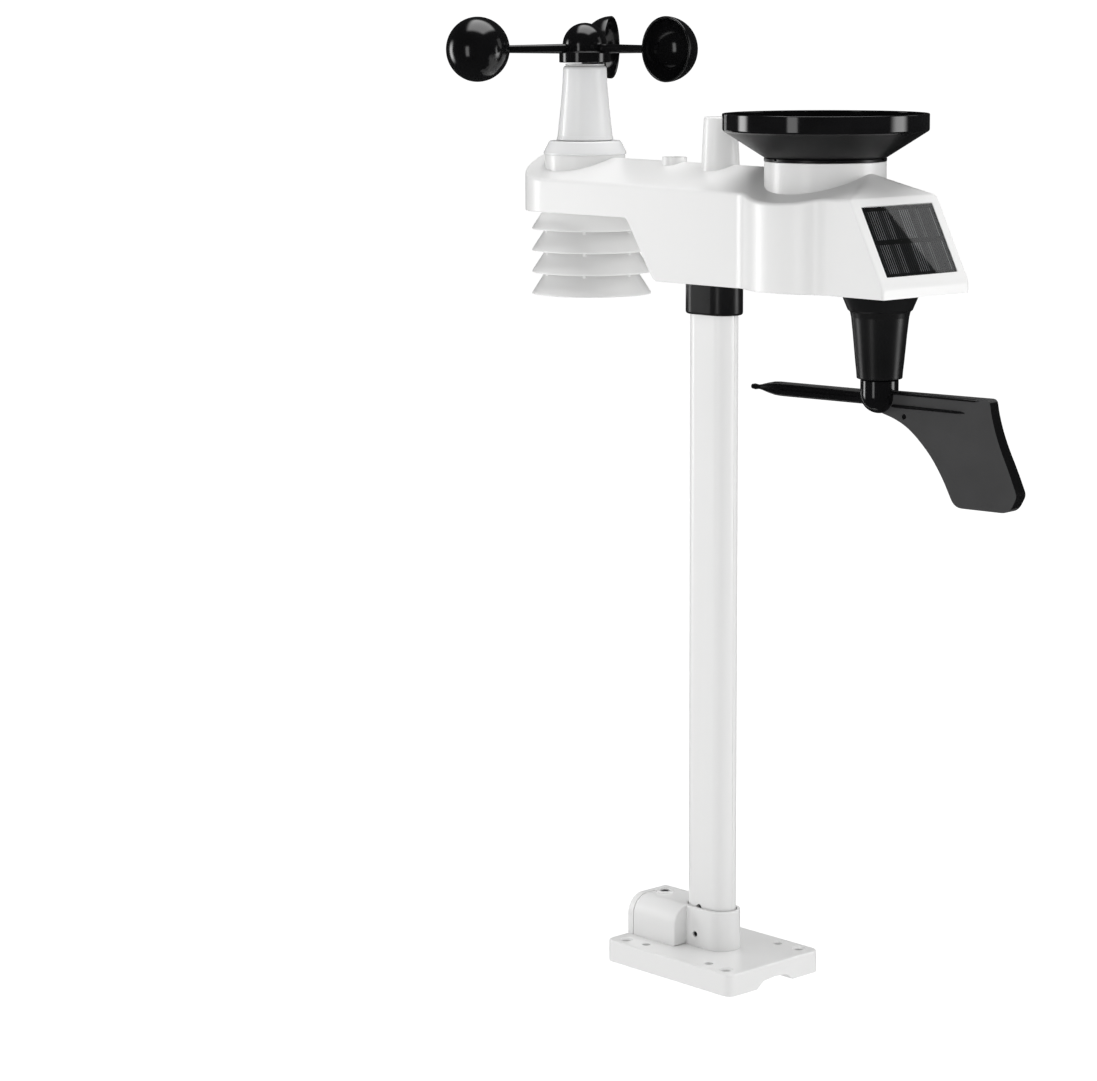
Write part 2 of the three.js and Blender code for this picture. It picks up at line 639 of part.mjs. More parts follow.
function bottomCover() {
  const end = END_X - WALL - FIT_GAP;
  const plate = upright(housingOutline(WALL + FIT_GAP, end), COVER_BOTTOM, COVER_TOP);
  const keep = block([COVER_LEFT, -THROUGH, COVER_BOTTOM - 1], [END_X, THROUGH, COVER_TOP + 1]);
  const catchBar = block([DOOR.x1 - 2, -8, COVER_TOP - 0.2], [DOOR.x1 + 6, 8, COVER_TOP + 2]);
  const tools = [
    upright(oval(COLLAR_NECK_RADIUS + FIT_GAP, COLLAR_NECK_FLAT), COVER_BOTTOM - 1, COVER_TOP + 1),
    disc(7, COVER_BOTTOM - 1, COVER_TOP + 1, VANE_AXIS_X, 0, 16),
    disc(BUTTON.radius + FIT_GAP, COVER_BOTTOM - 1, COVER_TOP + 1, BUTTON.x, BUTTON.y, 12),
    block(
      [DOOR.x0 - DOOR_SWING_ROOM, -DOOR.halfWidth, COVER_BOTTOM - 1],
      [DOOR.x1, DOOR.halfWidth, COVER_TOP + 0.02],
    ),
    crossBar(1, -DOOR.halfWidth - 2, DOOR.halfWidth + 2, DOOR_HINGE_X, DOOR_HINGE_Z),
  ];
  for (const { x, y } of COVER_SCREWS) {
    tools.push(disc(1.6, COVER_BOTTOM - 1, COVER_TOP + 1, x, y, SMALL_FACETS));
    tools.push(disc(2.9, COVER_BOTTOM - 1, COVER_BOTTOM + 1.3, x, y, SMALL_FACETS));
  }
  const body = plate.intersect(keep).add(catchBar);
  return cut(body, tools);
}

function coverScrew({ x, y }) {
  const seat = COVER_BOTTOM + 1.3 - SEAT_GAP;
  return move(screw(2.6, 1.2, 1.1, 9).rotate([180, 0, 0]), x, y, seat);
}

function batteryDoor() {
  const plate = block(
    [DOOR.x0 + DOOR.hingeGap, -DOOR.halfWidth + FIT_GAP, COVER_BOTTOM],
    [DOOR.x1 - FIT_GAP, DOOR.halfWidth - FIT_GAP, COVER_TOP - 0.3],
  );
  const pin = crossBar(0.7, -DOOR.halfWidth - 1.6, DOOR.halfWidth + 1.6, DOOR_HINGE_X, DOOR_HINGE_Z);
  const grips = [-6, 0, 6].map((y) => block(
    [DOOR_SCREW_X - 14, y - 0.8, COVER_BOTTOM - 1],
    [DOOR_SCREW_X - 6, y + 0.8, COVER_BOTTOM + 0.8],
  ));
  return cut(plate.add(pin), [
    ...grips,
    disc(1.4, COVER_BOTTOM - 1, COVER_TOP, DOOR_SCREW_X, 0, SMALL_FACETS),
    disc(2.7, COVER_BOTTOM - 1, COVER_BOTTOM + 1.1, DOOR_SCREW_X, 0, SMALL_FACETS),
  ]);
}

function resetButton() {
  const { x, y, radius } = BUTTON;
  return turned([
    [0, COVER_BOTTOM - 0.9],
    [radius - 0.5, COVER_BOTTOM - 0.9],
    [radius, COVER_BOTTOM - 0.4],
    [radius, COVER_TOP + 0.4],
    [radius + 1.2, COVER_TOP + 0.4],
    [radius + 1.2, COVER_TOP + 1.4],
    [0, COVER_TOP + 1.4],
  ], 12, x, y);
}

// ---- wind cup tower and rotor ----
const towerFlange = () => turned([
  [BEARING_SEAT, TOWER_BASE_TOP + SEAT_GAP],
  [FLANGE_RADIUS, TOWER_BASE_TOP + SEAT_GAP],
  [FLANGE_RADIUS, TOWER_BASE_TOP + 1],
  [FLANGE_RADIUS - 3, FLANGE_TOP - 0.8],
  [FLANGE_RADIUS - 3.7, FLANGE_TOP],
  [BEARING_SEAT, FLANGE_TOP],
], BODY_FACETS, CUP_AXIS_X);

const tower = () => turned([
  [TOWER_FOOT_RADIUS - 2, TOWER_BOTTOM],
  [TOWER_FOOT_RADIUS, TOWER_BOTTOM],
  [TOWER_FOOT_RADIUS - 2.6, TOWER_BOTTOM + 19],
  [TOWER_HEAD_RADIUS + 0.4, TOWER_TOP - 10],
  [TOWER_HEAD_RADIUS, TOWER_TOP],
  [BEARING_SEAT, TOWER_TOP],
  [BEARING_SEAT, TOWER_TOP - 10],
  [TOWER_HEAD_RADIUS - 1.8, TOWER_TOP - 14],
], BODY_FACETS, CUP_AXIS_X);

const towerCollar = () => turned([
  [3, TOWER_TOP + SEAT_GAP],
  [TOWER_HEAD_RADIUS - 0.7, TOWER_TOP + SEAT_GAP],
  [TOWER_HEAD_RADIUS - 0.7, TOWER_RING_TOP - 0.6],
  [TOWER_HEAD_RADIUS - 1.3, TOWER_RING_TOP],
  [3, TOWER_RING_TOP],
], BODY_FACETS, CUP_AXIS_X);

const bearing = (z0, x) => tube(BEARING_RADIUS, BEARING_BORE, z0, z0 + BEARING_HEIGHT, x, 0, 16);

function rotorHub() {
  const dome = arc(0, DOME_CENTRE_Z, DOME_RADIUS, 0, 90, 5).slice(0, -1);
  const skirtTop = SKIRT_BOTTOM + 6.2;
  return turned([
    [0, ROTOR_SHAFT.top + 0.1],
    [SHAFT_BORE, ROTOR_SHAFT.top + 0.1],
    [SHAFT_BORE, SKIRT_BOTTOM],
    [SKIRT_RADIUS, SKIRT_BOTTOM],
    [SKIRT_RADIUS, skirtTop - 0.5],
    [SKIRT_RADIUS - 0.5, skirtTop],
    [DOME_RADIUS - 0.6, skirtTop + 0.2],
    ...dome,
    [0, DOME_CENTRE_Z + DOME_RADIUS],
  ], BODY_FACETS, CUP_AXIS_X);
}

// One cup with its arm, built along +X and then turned round the rotor axis.
function windCup(angle) {
  const outside = arc(0, 0, CUP_RADIUS, -90, 0, 6).slice(1);
  const inside = arc(0, 0, CUP_RADIUS - CUP_WALL, 0, -90, 6).slice(0, -1);
  const shell = turned([
    [0, -CUP_RADIUS],
    ...outside,
    ...inside,
    [0, CUP_WALL - CUP_RADIUS],
  ], 20);
  const mouth = solid(new THREE.SphereGeometry(CUP_RADIUS - CUP_WALL - 0.05, 20, 12));
  const cup = move(shell.rotate([90, 0, 0]), CUP_ORBIT, 0, 0);
  const reach = CUP_ORBIT - CUP_RADIUS + 1;
  const arm = sideways([[9, -2.9], [reach, -2.3], [reach, 2.3], [9, 2.9]], -2.1, 2.1);
  const hubRoom = disc(SKIRT_RADIUS + 0.3, -20, -1.6).add(disc(DOME_RADIUS + 0.5, -2, 20));
  const bar = cut(move(arm, 0, ARM_INSET, 0), [hubRoom, move(mouth, CUP_ORBIT, 0, 0)]);
  return move(cup.add(bar).rotate([0, 0, angle]), CUP_AXIS_X, 0, ROTOR_Z);
}

// ---- rain gauge ----
function rainWell() {
  const cup = turned([
    [0, WELL_BOTTOM],
    [WELL_RADIUS, WELL_BOTTOM],
    [WELL_RADIUS, NECK_LEDGE_Z + SEAT_GAP],
    [NECK_BORE - FIT_GAP, NECK_LEDGE_Z + SEAT_GAP],
    [NECK_BORE - FIT_GAP, NECK_LEDGE_Z + WELL_WALL],
    [WELL_RADIUS - WELL_WALL, NECK_LEDGE_Z + WELL_WALL],
    [WELL_RADIUS - WELL_WALL, WELL_BOTTOM + 2],
    [0, WELL_BOTTOM + 2],
  ], BODY_FACETS);
  const ears = [-1, 1].map((side) => block(
    [-3.5, side * 12 - 1, WELL_BOTTOM + 1],
    [3.5, side * 12 + 1, BUCKET_AXLE_Z + 4],
  ));
  const stops = [-17.5, 17.5].map((x) => disc(1.4, WELL_BOTTOM + 1, BUCKET_AXLE_Z + 3.1, x, 0, 8));
  const drains = [-22, 22].map((y) => disc(2.4, WELL_BOTTOM - 1, WELL_BOTTOM + 3, 0, y, SMALL_FACETS));
  const axleHole = crossBar(1.3, -16, 16, 0, BUCKET_AXLE_Z);
  return move(cut(join([cup, ...ears, ...stops]), [...drains, axleHole]), RAIN_AXIS_X, 0, 0);
}

// See-saw with one open chamber each side of a divider, tipped onto one stop.
function tippingBucket() {
  const half = BUCKET_WIDTH / 2;
  const long = BUCKET_HALF_LENGTH;
  const body = sideways([[0, 1], [long, 10], [0, 18], [-long, 10]], -half, half);
  const barrel = crossBar(2.6, -half, half, 0, 0);
  const room = [[0.6, 2.6], [long + 2, 12.2], [long + 2, 20], [0.6, 20]];
  const chamber = sideways(room, 1.2 - half, half - 1.2);
  const otherChamber = chamber.rotate([0, 0, 180]);
  const bore = crossBar(1.3, -half - 1, half + 1, 0, 0);
  const bucket = cut(body.add(barrel), [chamber, otherChamber, bore]);
  return move(bucket.rotate([0, BUCKET_TILT, 0]), RAIN_AXIS_X, 0, BUCKET_AXLE_Z);
}

function funnelLockRing() {
  const outer = NECK_RADIUS + 0.2;
  const ring = tube(outer, NECK_BORE + 0.4, NECK_TOP + SEAT_GAP, LOCK_RING_TOP, 0, 0, RIM_FACETS);
  const notches = [];
  for (let i = 0; i < 6; i += 1) {
    const notch = block([outer - 0.9, -1.6, NECK_TOP + 0.7], [outer + 2, 1.6, LOCK_RING_TOP + 1]);
    notches.push(notch.rotate([0, 0, i * 60 + 20]));
  }
  return move(cut(ring, notches), RAIN_AXIS_X, 0, 0);
}

const rainFunnel = () => turned([
  [2.4, 459],
  [4, 459],
  [4, 465.6],
  [FUNNEL_SKIRT_BORE, 468.6],
  [FUNNEL_SKIRT_BORE, 462],
  [FUNNEL_SKIRT_RADIUS, 462],
  [FUNNEL_SKIRT_RADIUS, FUNNEL_FOOT_Z],
  [NECK_RADIUS + 0.1, FUNNEL_FOOT_Z],
  [FUNNEL_RIM_RADIUS - 0.4, FUNNEL_BAND_Z],
  [FUNNEL_RIM_RADIUS, FUNNEL_BAND_Z + 0.8],
  [FUNNEL_RIM_RADIUS, FUNNEL_RIM_Z - 0.5],
  [FUNNEL_RIM_RADIUS - 0.5, FUNNEL_RIM_Z],
  [FUNNEL_RIM_RADIUS - FUNNEL_WALL, FUNNEL_RIM_Z],
  [FUNNEL_RIM_RADIUS - FUNNEL_WALL, FUNNEL_BAND_Z + 1.8],
  [NECK_RADIUS - 1, 473],
  [8.5, 468],
  [2.4, 467.2],
], RIM_FACETS, RAIN_AXIS_X);

// Slotted leaf screen that drops into the funnel's throat.
function debrisScreen() {
  const cap = turned([
    [0, 475.2],
    [7.2, 475.2],
    [7.2, 468.6],
    [8, 468.6],
    [8, 476],
    [6.6, 477],
    [0, 477],
  ], 16);
  const slots = [-4.5, -1.5, 1.5, 4.5].map((y) => block([-4.2, y - 0.7, 474], [4.2, y + 0.7, 478]));
  return move(cut(cap, slots), RAIN_AXIS_X, 0, 0);
}

// ---- wind vane ----
const vaneStem = () => turned([
  [5, STEM_BOTTOM],
  [11.6, STEM_BOTTOM],
  [12.3, STEM_BOTTOM + 0.8],
  [13.2, STEM_STEP_Z - 28],
  [14.6, STEM_STEP_Z - 13],
  [16.3, STEM_STEP_Z - 1.3],
  [17.4, STEM_STEP_Z],
  [18.2, STEM_STEP_Z + 1.7],
  [21.2, COLLAR_SHOULDER],
  [BEARING_SEAT, COLLAR_SHOULDER],
  [BEARING_SEAT, VANE_BEARINGS_Z.lower - 0.1],
  [5, VANE_BEARINGS_Z.lower - 0.1],
], BODY_FACETS, VANE_AXIS_X);

const vaneHub = () => turned([
  ...arc(0, HUB_CENTRE_Z, HUB_RADIUS, -90, 0, 5).map(([r, z], i) => [i === 0 ? 0 : r, z]),
  [HUB_RADIUS, HUB_TOP - 0.6],
  [HUB_RADIUS - 0.6, HUB_TOP],
  [SHAFT_BORE, HUB_TOP],
  [SHAFT_BORE, HUB_CENTRE_Z],
  [0, HUB_CENTRE_Z],
], BODY_FACETS, VANE_AXIS_X);

const placeOnVane = (part) => move(part.rotate([0, 0, VANE_HEADING]), VANE_AXIS_X, 0, 0);

// The hub's ball and the cylinder above it, with a small gap.
function hubRoom() {
  const radius = HUB_RADIUS + 0.2;
  const ball = arc(0, HUB_CENTRE_Z, radius, -90, 0, 5).map(([r, z], i) => [i === 0 ? 0 : r, z]);
  return turned([...ball, [radius, HUB_TOP + 5], [0, HUB_TOP + 5]], BODY_FACETS);
}


// Arrow nose: an oval bar with a drawn-out tip, pointing into the wind.
function vaneNose() {
  const bar = turned([
    [0, 0],
    [ROD_RADIUS, 0],
    [ROD_RADIUS, 66],
    [3.7, 70],
    [2.6, 75],
    [1.5, 79],
    [1.2, 80.5],
    [1.7, 82],
    [1.2, NOSE_REACH - 0.6],
    [0, NOSE_REACH],
  ], 12);
  const lying = bar.rotate([0, -90, 0]).scale([1, 0.72, 1]);
  const groove = block([-64, 2.55, -0.5], [-14, 4, 0.5]);
  const grooves = [groove, groove.rotate([180, 0, 0])];
  return placeOnVane(cut(move(cut(lying, grooves), 0, 0, ROD_Z), [hubRoom()]));
}

// Tail fin, drawn down from its top edge: thin at the hub, about 8 mm thick at the trailing edge,
// with two rails along its top.
function vaneFin() {
  const side = [
    [3, -12.7], [10.5, -14.7], [18, -18], [24, -22.2], [30, -27.6], [36, -34], [43, -44], [48.5, -54.5],
    [52, -58], [57, -59.2], [81.5, -58.8], [86.5, -56.2], [89.5, -51.9], [89.9, -47],
    [85.5, -36.9], [80.2, -26], [76.4, -16.4], [73.9, -7.4], [72.6, -1.6], [70.4, 0], [3, 0],
  ];
  const slab = sideways(side, -8, 8);
  const wedge = upright([[0, -1.3], [92, -4.7], [92, 4.7], [0, 1.3]], -80, 20);
  const rail = (z, end) => upright([[3, -2.7], [end, -4.6], [end, 4.6], [3, 2.7]], z - 1, z + 1);
  const rails = [rail(-1.1, 66), rail(-8.1, 57)];
  const eye = crossBar(1.5, -10, -0.5, 17.3, -13.4);
  const fin = cut(join([slab.intersect(wedge), ...rails]), [eye]);
  return placeOnVane(cut(move(fin, 0, 0, FIN_TOP), [hubRoom()]));
}

// ---- radiation shield ----
// Everything inside a louvre's skirt, pulled in by a gap.
function louvreInside(lip, top, gap) {
  const lipRadius = LOUVRE_LIP_RADIUS - LOUVRE_WALL - gap;
  const under = top - LOUVRE_WALL - gap;
  return turned([
    [0, lip - 5],
    [lipRadius, lip - 5],
    [lipRadius, lip],
    [lipRadius - (under - lip) * LOUVRE_TAPER, under],
    [0, under],
  ], 24);
}

// Skirt with a flange at its top and pegs that reach into the part above.
function louvre(index) {
  const lip = LOUVRE_LIP_Z[index];
  const top = louvreTop(index);
  const skirt = turned([
    [0, lip],
    [LOUVRE_LIP_RADIUS, lip],
    [LOUVRE_LIP_RADIUS - (top - lip) * LOUVRE_TAPER, top],
    [0, top],
  ], 24);
  const shell = cut(skirt, [louvreInside(lip, top, 0), disc(LOUVRE_BORE, lip, top + 1)]);
  const room = index === 0
    ? disc(LOUVRE_LIP_RADIUS, lip, THIN_BOTTOM - SEAT_GAP)
    : louvreInside(LOUVRE_LIP_Z[index - 1], louvreTop(index - 1), SEAT_GAP);
  const pegs = [];
  for (let i = 0; i < PEG_COUNT; i += 1) {
    const peg = disc(PEG_RADIUS, lip + 6, lip + 40, PEG_ORBIT, 0, 6);
    pegs.push(peg.rotate([0, 0, i * (360 / PEG_COUNT) + PEG_TURN]));
  }
  const pegsBetween = join(pegs).intersect(room).subtract(louvreInside(lip, top, 0));
  return move(cut(shell.add(pegsBetween), rodHoles(top - 3, top + 1)), SHIELD_X, 0, 0);
}

function louvreTop(index) {
  return LOUVRE_LIP_Z[index] + (index === 0 ? TOP_LOUVRE_HEIGHT : LOUVRE_HEIGHT);
}

function rodPlaces() {
  return Array.from({ length: ROD_COUNT }, (_, i) => {
    const angle = radians((360 / ROD_COUNT) * i + 90);
    return { x: ROD_ORBIT * Math.cos(angle), y: ROD_ORBIT * Math.sin(angle) };
  });
}

function rodHoles(z0, z1) {
  return rodPlaces().map(({ x, y }) => disc(1.8, z0, z1, x, y, SMALL_FACETS));
}

function shieldBase() {
  const plate = turned([
    [0, FLOOR_BOTTOM],
    [FLOOR_RADIUS, FLOOR_BOTTOM],
    [FLOOR_RADIUS, FLOOR_TOP],
    [0, FLOOR_TOP],
  ], BODY_FACETS);
  return move(cut(plate, rodHoles(FLOOR_BOTTOM - 1, FLOOR_TOP + 1)), SHIELD_X, 0, 0);
}

function shieldRod({ x, y }) {
  const rod = screw(3, 2, 1.5, THIN_BOTTOM - FLOOR_BOTTOM - 0.4);
  return move(rod.rotate([180, 0, 0]), SHIELD_X + x, y, FLOOR_BOTTOM - SEAT_GAP);
}

// ---- assembly ----
add('base_plate', basePlate(), colours.white);
add('socket_bracket', socketBracket(), colours.white);
BRACKET_SCREWS.forEach((place, i) => add(`bracket_screw_${i + 1}`, bracketScrew(place), colours.steel));
const wallScrew = screw(2.6, 1.4, 1.2, 1.2);
add('wall_socket_screw', move(wallScrew, WALL_SCREW_X, 0, SOCKET_TOP - 0.8 + SEAT_GAP), colours.steel);
const lockScrew = turned([
  [0, 5.4],
  [LOCK_SCREW.radius, 5.4],
  [LOCK_SCREW.radius, 10.5],
  [0.7, 10.5],
  [0.7, 9.3],
  [0, 9.3],
], SMALL_FACETS);
add('lower_pole_screw', move(lockScrew.rotate([90, 0, 0]), LOCK_SCREW.x, 0, LOCK_SCREW.z), colours.steel);
add('pole', pole(), colours.white);
add('mast_collar', mastCollar(), colours.satin);
const collarScrew = screw(3, 1.9, 1.4, 5.4).rotate([-90, 0, 0]);
add('upper_pole_screw', move(collarScrew, 0, COLLAR_RADIUS + SEAT_GAP, COLLAR_SCREW_Z), colours.steel);

add('housing_shell', housingShell(), colours.white);
add('antenna_post', antennaPost(), colours.white);
add('bottom_cover', bottomCover(), colours.white);
COVER_SCREWS.forEach((place, i) => add(`cover_screw_${i + 1}`, coverScrew(place), colours.steel));
const vialTop = LEVEL_TOP - 0.4;
const vialRadius = LEVEL_RADIUS - 1.2 - 0.15;
const vial = turned([
  [0, LEVEL_POCKET_Z + SEAT_GAP],
  [vialRadius, LEVEL_POCKET_Z + SEAT_GAP],
  [vialRadius, vialTop - 0.8],
  [vialRadius - 1.4, vialTop],
  [0, vialTop],
], 20, LEVEL_X);
add('level_vial', vial, colours.glass);
const cells = faceSlab(PANEL_WIDTH, PANEL_HEIGHT, 1.1, PANEL_RECESS - SEAT_GAP);
const panelGlass = faceSlab(PANEL_WIDTH, PANEL_HEIGHT, 0.2, 1.05);
add('solar_cells', cells, colours.cell);
add('solar_glass', panelGlass, colours.glass);

const board = block([-8, -24, BOARD_TOP - 1.7], [44, 24, BOARD_TOP]);
add('main_board', board, colours.board);
const aerial = disc(1.3, BOARD_TOP + 0.1, ANTENNA_TOP - 5.8, ANTENNA_X, 0, SMALL_FACETS);
add('radio_antenna', aerial, colours.magnet);
const cellProfile = [[0, -25], [7.1, -25], [7.1, 23.6], [2.6, 23.6], [2.6, 25], [0, 25]];
for (const [i, x] of BATTERIES_X.entries()) {
  const battery = turned(cellProfile, 18).rotate([90, 0, 180 * i]);
  add(`battery_${i + 1}`, move(battery, x, 0, BATTERY_Z), colours.battery);
}
add('battery_door', batteryDoor(), colours.white);
const doorScrew = screw(2.4, 1, 1, 1.6).rotate([180, 0, 0]);
const doorScrewZ = COVER_BOTTOM + 1.1 - SEAT_GAP;
add('battery_door_screw', move(doorScrew, DOOR_SCREW_X, 0, doorScrewZ), colours.steel);
add('reset_button', resetButton(), colours.satin);

add('tower_flange', towerFlange(), colours.smoke);
add('tower', tower(), colours.smoke);
add('tower_collar', towerCollar(), colours.smoke);
add('rotor_bearing_lower', bearing(ROTOR_BEARINGS_Z.lower, CUP_AXIS_X), colours.steel);
add('rotor_bearing_upper', bearing(ROTOR_BEARINGS_Z.upper, CUP_AXIS_X), colours.steel);
const rotorShaft = disc(SHAFT_RADIUS, ROTOR_SHAFT.bottom, ROTOR_SHAFT.top, CUP_AXIS_X, 0, 12);
add('rotor_shaft', rotorShaft, colours.steel);
const rotorMagnetTop = ROTOR_SHAFT.bottom - SEAT_GAP;
const rotorMagnet = disc(6, rotorMagnetTop - MAGNET_LENGTH, rotorMagnetTop, CUP_AXIS_X, 0, 14);
add('rotor_magnet', rotorMagnet, colours.magnet);
add('rotor_hub', rotorHub(), colours.gloss);
for (let i = 0; i < CUP_COUNT; i += 1) {
  add(`wind_cup_${i + 1}`, windCup(ROTOR_HEADING + (360 / CUP_COUNT) * i), colours.gloss);
}

add('rain_well', rainWell(), colours.smoke);
add('tipping_bucket', tippingBucket(), colours.satin);
add('bucket_axle', crossBar(1, -14, 14, RAIN_AXIS_X, BUCKET_AXLE_Z), colours.steel);
add('funnel_lock_ring', funnelLockRing(), colours.satin);
add('rain_funnel', rainFunnel(), colours.satin);
add('debris_screen', debrisScreen(), colours.satin);

add('vane_stem', vaneStem(), colours.satin);
add('vane_bearing_lower', bearing(VANE_BEARINGS_Z.lower, VANE_AXIS_X), colours.steel);
add('vane_bearing_upper', bearing(VANE_BEARINGS_Z.upper, VANE_AXIS_X), colours.steel);
const vaneShaft = disc(SHAFT_RADIUS, HUB_CENTRE_Z + 0.1, VANE_SHAFT_TOP, VANE_AXIS_X, 0, 12);
add('vane_shaft', vaneShaft, colours.steel);
const vaneMagnetBottom = VANE_SHAFT_TOP + SEAT_GAP;
const vaneMagnet = disc(5.5, vaneMagnetBottom, vaneMagnetBottom + MAGNET_LENGTH, VANE_AXIS_X, 0, 14);
add('vane_magnet', vaneMagnet, colours.magnet);
add('vane_hub', vaneHub(), colours.gloss);
add('vane_nose', vaneNose(), colours.gloss);
add('vane_fin', vaneFin(), colours.grey);

LOUVRE_LIP_Z.forEach((_, i) => add(`louvre_${i + 1}`, louvre(i), colours.white));
add('shield_base', shieldBase(), colours.white);
rodPlaces().forEach((place, i) => add(`shield_rod_${i + 1}`, shieldRod(place), colours.steel));
const sensor = block([SHIELD_X - 6, -0.9, 400], [SHIELD_X + 6, 0.9, THIN_BOTTOM - 1.3]);
const probe = block([SHIELD_X - 3, -2.6, 403], [SHIELD_X + 3, -0.8, 409]);
add('humidity_sensor', sensor.add(probe), colours.board);

export default root;
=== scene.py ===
"""Looks of the outdoor weather station.

Smooth moulded shells, glossy cups and vane, the solar panel, and a plain studio.
"""

import math

import bmesh
import bpy
from mathutils import Matrix, Vector

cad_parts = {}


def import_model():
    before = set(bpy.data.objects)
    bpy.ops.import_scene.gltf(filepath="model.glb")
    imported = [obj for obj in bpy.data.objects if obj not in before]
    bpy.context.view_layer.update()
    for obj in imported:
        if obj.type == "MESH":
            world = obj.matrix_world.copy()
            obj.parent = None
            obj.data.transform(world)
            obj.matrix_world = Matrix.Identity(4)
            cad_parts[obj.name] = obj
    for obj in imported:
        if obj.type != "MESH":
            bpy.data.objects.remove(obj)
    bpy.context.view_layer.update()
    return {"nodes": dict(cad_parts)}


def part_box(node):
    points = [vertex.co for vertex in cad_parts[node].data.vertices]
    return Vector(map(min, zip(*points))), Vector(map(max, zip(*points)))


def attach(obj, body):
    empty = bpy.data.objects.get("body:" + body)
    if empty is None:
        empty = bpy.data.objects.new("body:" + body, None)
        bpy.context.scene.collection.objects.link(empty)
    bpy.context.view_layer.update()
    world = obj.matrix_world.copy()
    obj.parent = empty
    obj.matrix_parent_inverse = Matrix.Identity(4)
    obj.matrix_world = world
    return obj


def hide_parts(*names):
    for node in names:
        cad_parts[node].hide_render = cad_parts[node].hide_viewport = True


MM = 0.001

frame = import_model()
nodes = frame["nodes"]


def centre_of(node):
    """Middle of a CAD node's box, in millimetres."""
    low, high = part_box(node)
    return [(a + b) / 2 / MM for a, b in zip(low, high)]


# ---- places taken from the frame, in millimetres ----
CUP_X = centre_of("rotor_shaft")[0]
RAIN_X = centre_of("rain_funnel")[0]
VANE_X = centre_of("vane_shaft")[0]
SHIELD_X = centre_of("shield_base")[0]
LEVEL_X = centre_of("level_vial")[0]
ANTENNA_X = centre_of("radio_antenna")[0]
PLATE_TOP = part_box("base_plate")[1][2] / MM
END_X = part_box("housing_shell")[1][0] / MM
ROTOR_Z = 529.0

# ---- housing shape ----
HALF_WIDTH = 35.1
WALL = 2.5
DEEP_BOTTOM = 400.3
THIN_BOTTOM = 434.9
RIDGE_Z = 464.0
RIDGE_RISE = 0.01117
ROOF_SLOPE = 13 / 36
BULGE = 45.0
BULGE_FILLET = 18.0
FACE_TOP = (133.5, 451.9)
FACE_FOOT = (END_X, 406.4)
HIP_TOP = (116.7, 464.0)
STEP_TOP_X = -35.7
STEP_BOTTOM_X = -13.9
ANTENNA_TOP = 491.8
PANEL_SIZE = (56.6, 40.2)
PANEL_DOWN_SLOPE = 24.8
EAVE_ROUND = 1.8

# ---- pole, collar and socket bracket ----
POLE_FLAT = 14.3
POLE_RADIUS = 8.5
POLE_TOP = 398.4
PIN_HOLE = (-2.5, 36.0)
LOCK_HOLE = (-3.0, 20.4)
COLLAR_BOTTOM = 380.5
COLLAR_SHOULDER = 400.1
COLLAR_SCREW_Z = 389.8
SOCKET_TOP = 36.2
SOCKET_RADIUS = 11.05
BARREL_CENTRE_Z = 25.0
BARREL_START = -50.0
BARREL_HALF_WIDTH = 20.0
WALL_SCREW_X = -39.0

# ---- wind cups, vane and shield ----
ROTOR_HEADING = 1.8
CUP_ORBIT = 64.5
CUP_RADIUS = 18.8
VANE_HEADING = 6.5
HUB_RADIUS = 10.3
HUB_CENTRE_Z = 345.5
NOSE_Z = 343.5
FIN_TOP = 348.1
LOUVRE_LIPS = [424.3, 411.6, 398.9, 386.2]
LOUVRE_HEIGHTS = [10.4, 13.8, 13.8, 13.8]
LOUVRE_LIP_RADIUS = 35.2
LOUVRE_TAPER = 0.64
LOUVRE_WALL = 1.5

# ---- studio, in metres and degrees ----
AMBIENT = 0.4
CAMERA_SIDE_DIM = 0.62
ROOM_REFLECTION = 0.02
CAMERA_SIDE = -45.6
CARD_EDGE = (-0.34, 0.44)
CARD_REACH = 0.5
CARD_WIDTH = 0.16
CARD_HEIGHT = 0.34
CARD_RADIANCE = 0.7
CAMERA_PLACE = (1.2554, -1.2839, 0.5508)
CAMERA_YAW = 47.36
CAMERA_PITCH = 7.52
CAMERA_ROLL = -0.2
CAMERA_LENS = 104.34
CAMERA_SHIFT_Y = -0.1


# ---------------------------------------------------------------- mesh helpers
def new_object(name, bm):
    """Puts a bmesh built in millimetres into the scene as an object in metres."""
    bmesh.ops.recalc_face_normals(bm, faces=bm.faces)
    bmesh.ops.scale(bm, vec=(MM, MM, MM), verts=bm.verts)
    mesh = bpy.data.meshes.new(name)
    bm.to_mesh(mesh)
    bm.free()
    obj = bpy.data.objects.new(name, mesh)
    bpy.context.scene.collection.objects.link(obj)
    return obj


def transform(obj, matrix):
    """Moves the object's own vertices; the translation is in metres."""
    obj.data.transform(matrix)
    return obj


def shifted(obj, x=0.0, y=0.0, z=0.0):
    return transform(obj, Matrix.Translation((x * MM, y * MM, z * MM)))


def turned(obj, degrees, axis="Z"):
    return transform(obj, Matrix.Rotation(math.radians(degrees), 4, axis))


def arc(cx, cy, radius, start, end, steps):
    """Points along an arc, angles in degrees, both ends included."""
    angles = [math.radians(start + (end - start) * i / steps) for i in range(steps + 1)]
    return [(cx + radius * math.cos(a), cy + radius * math.sin(a)) for a in angles]


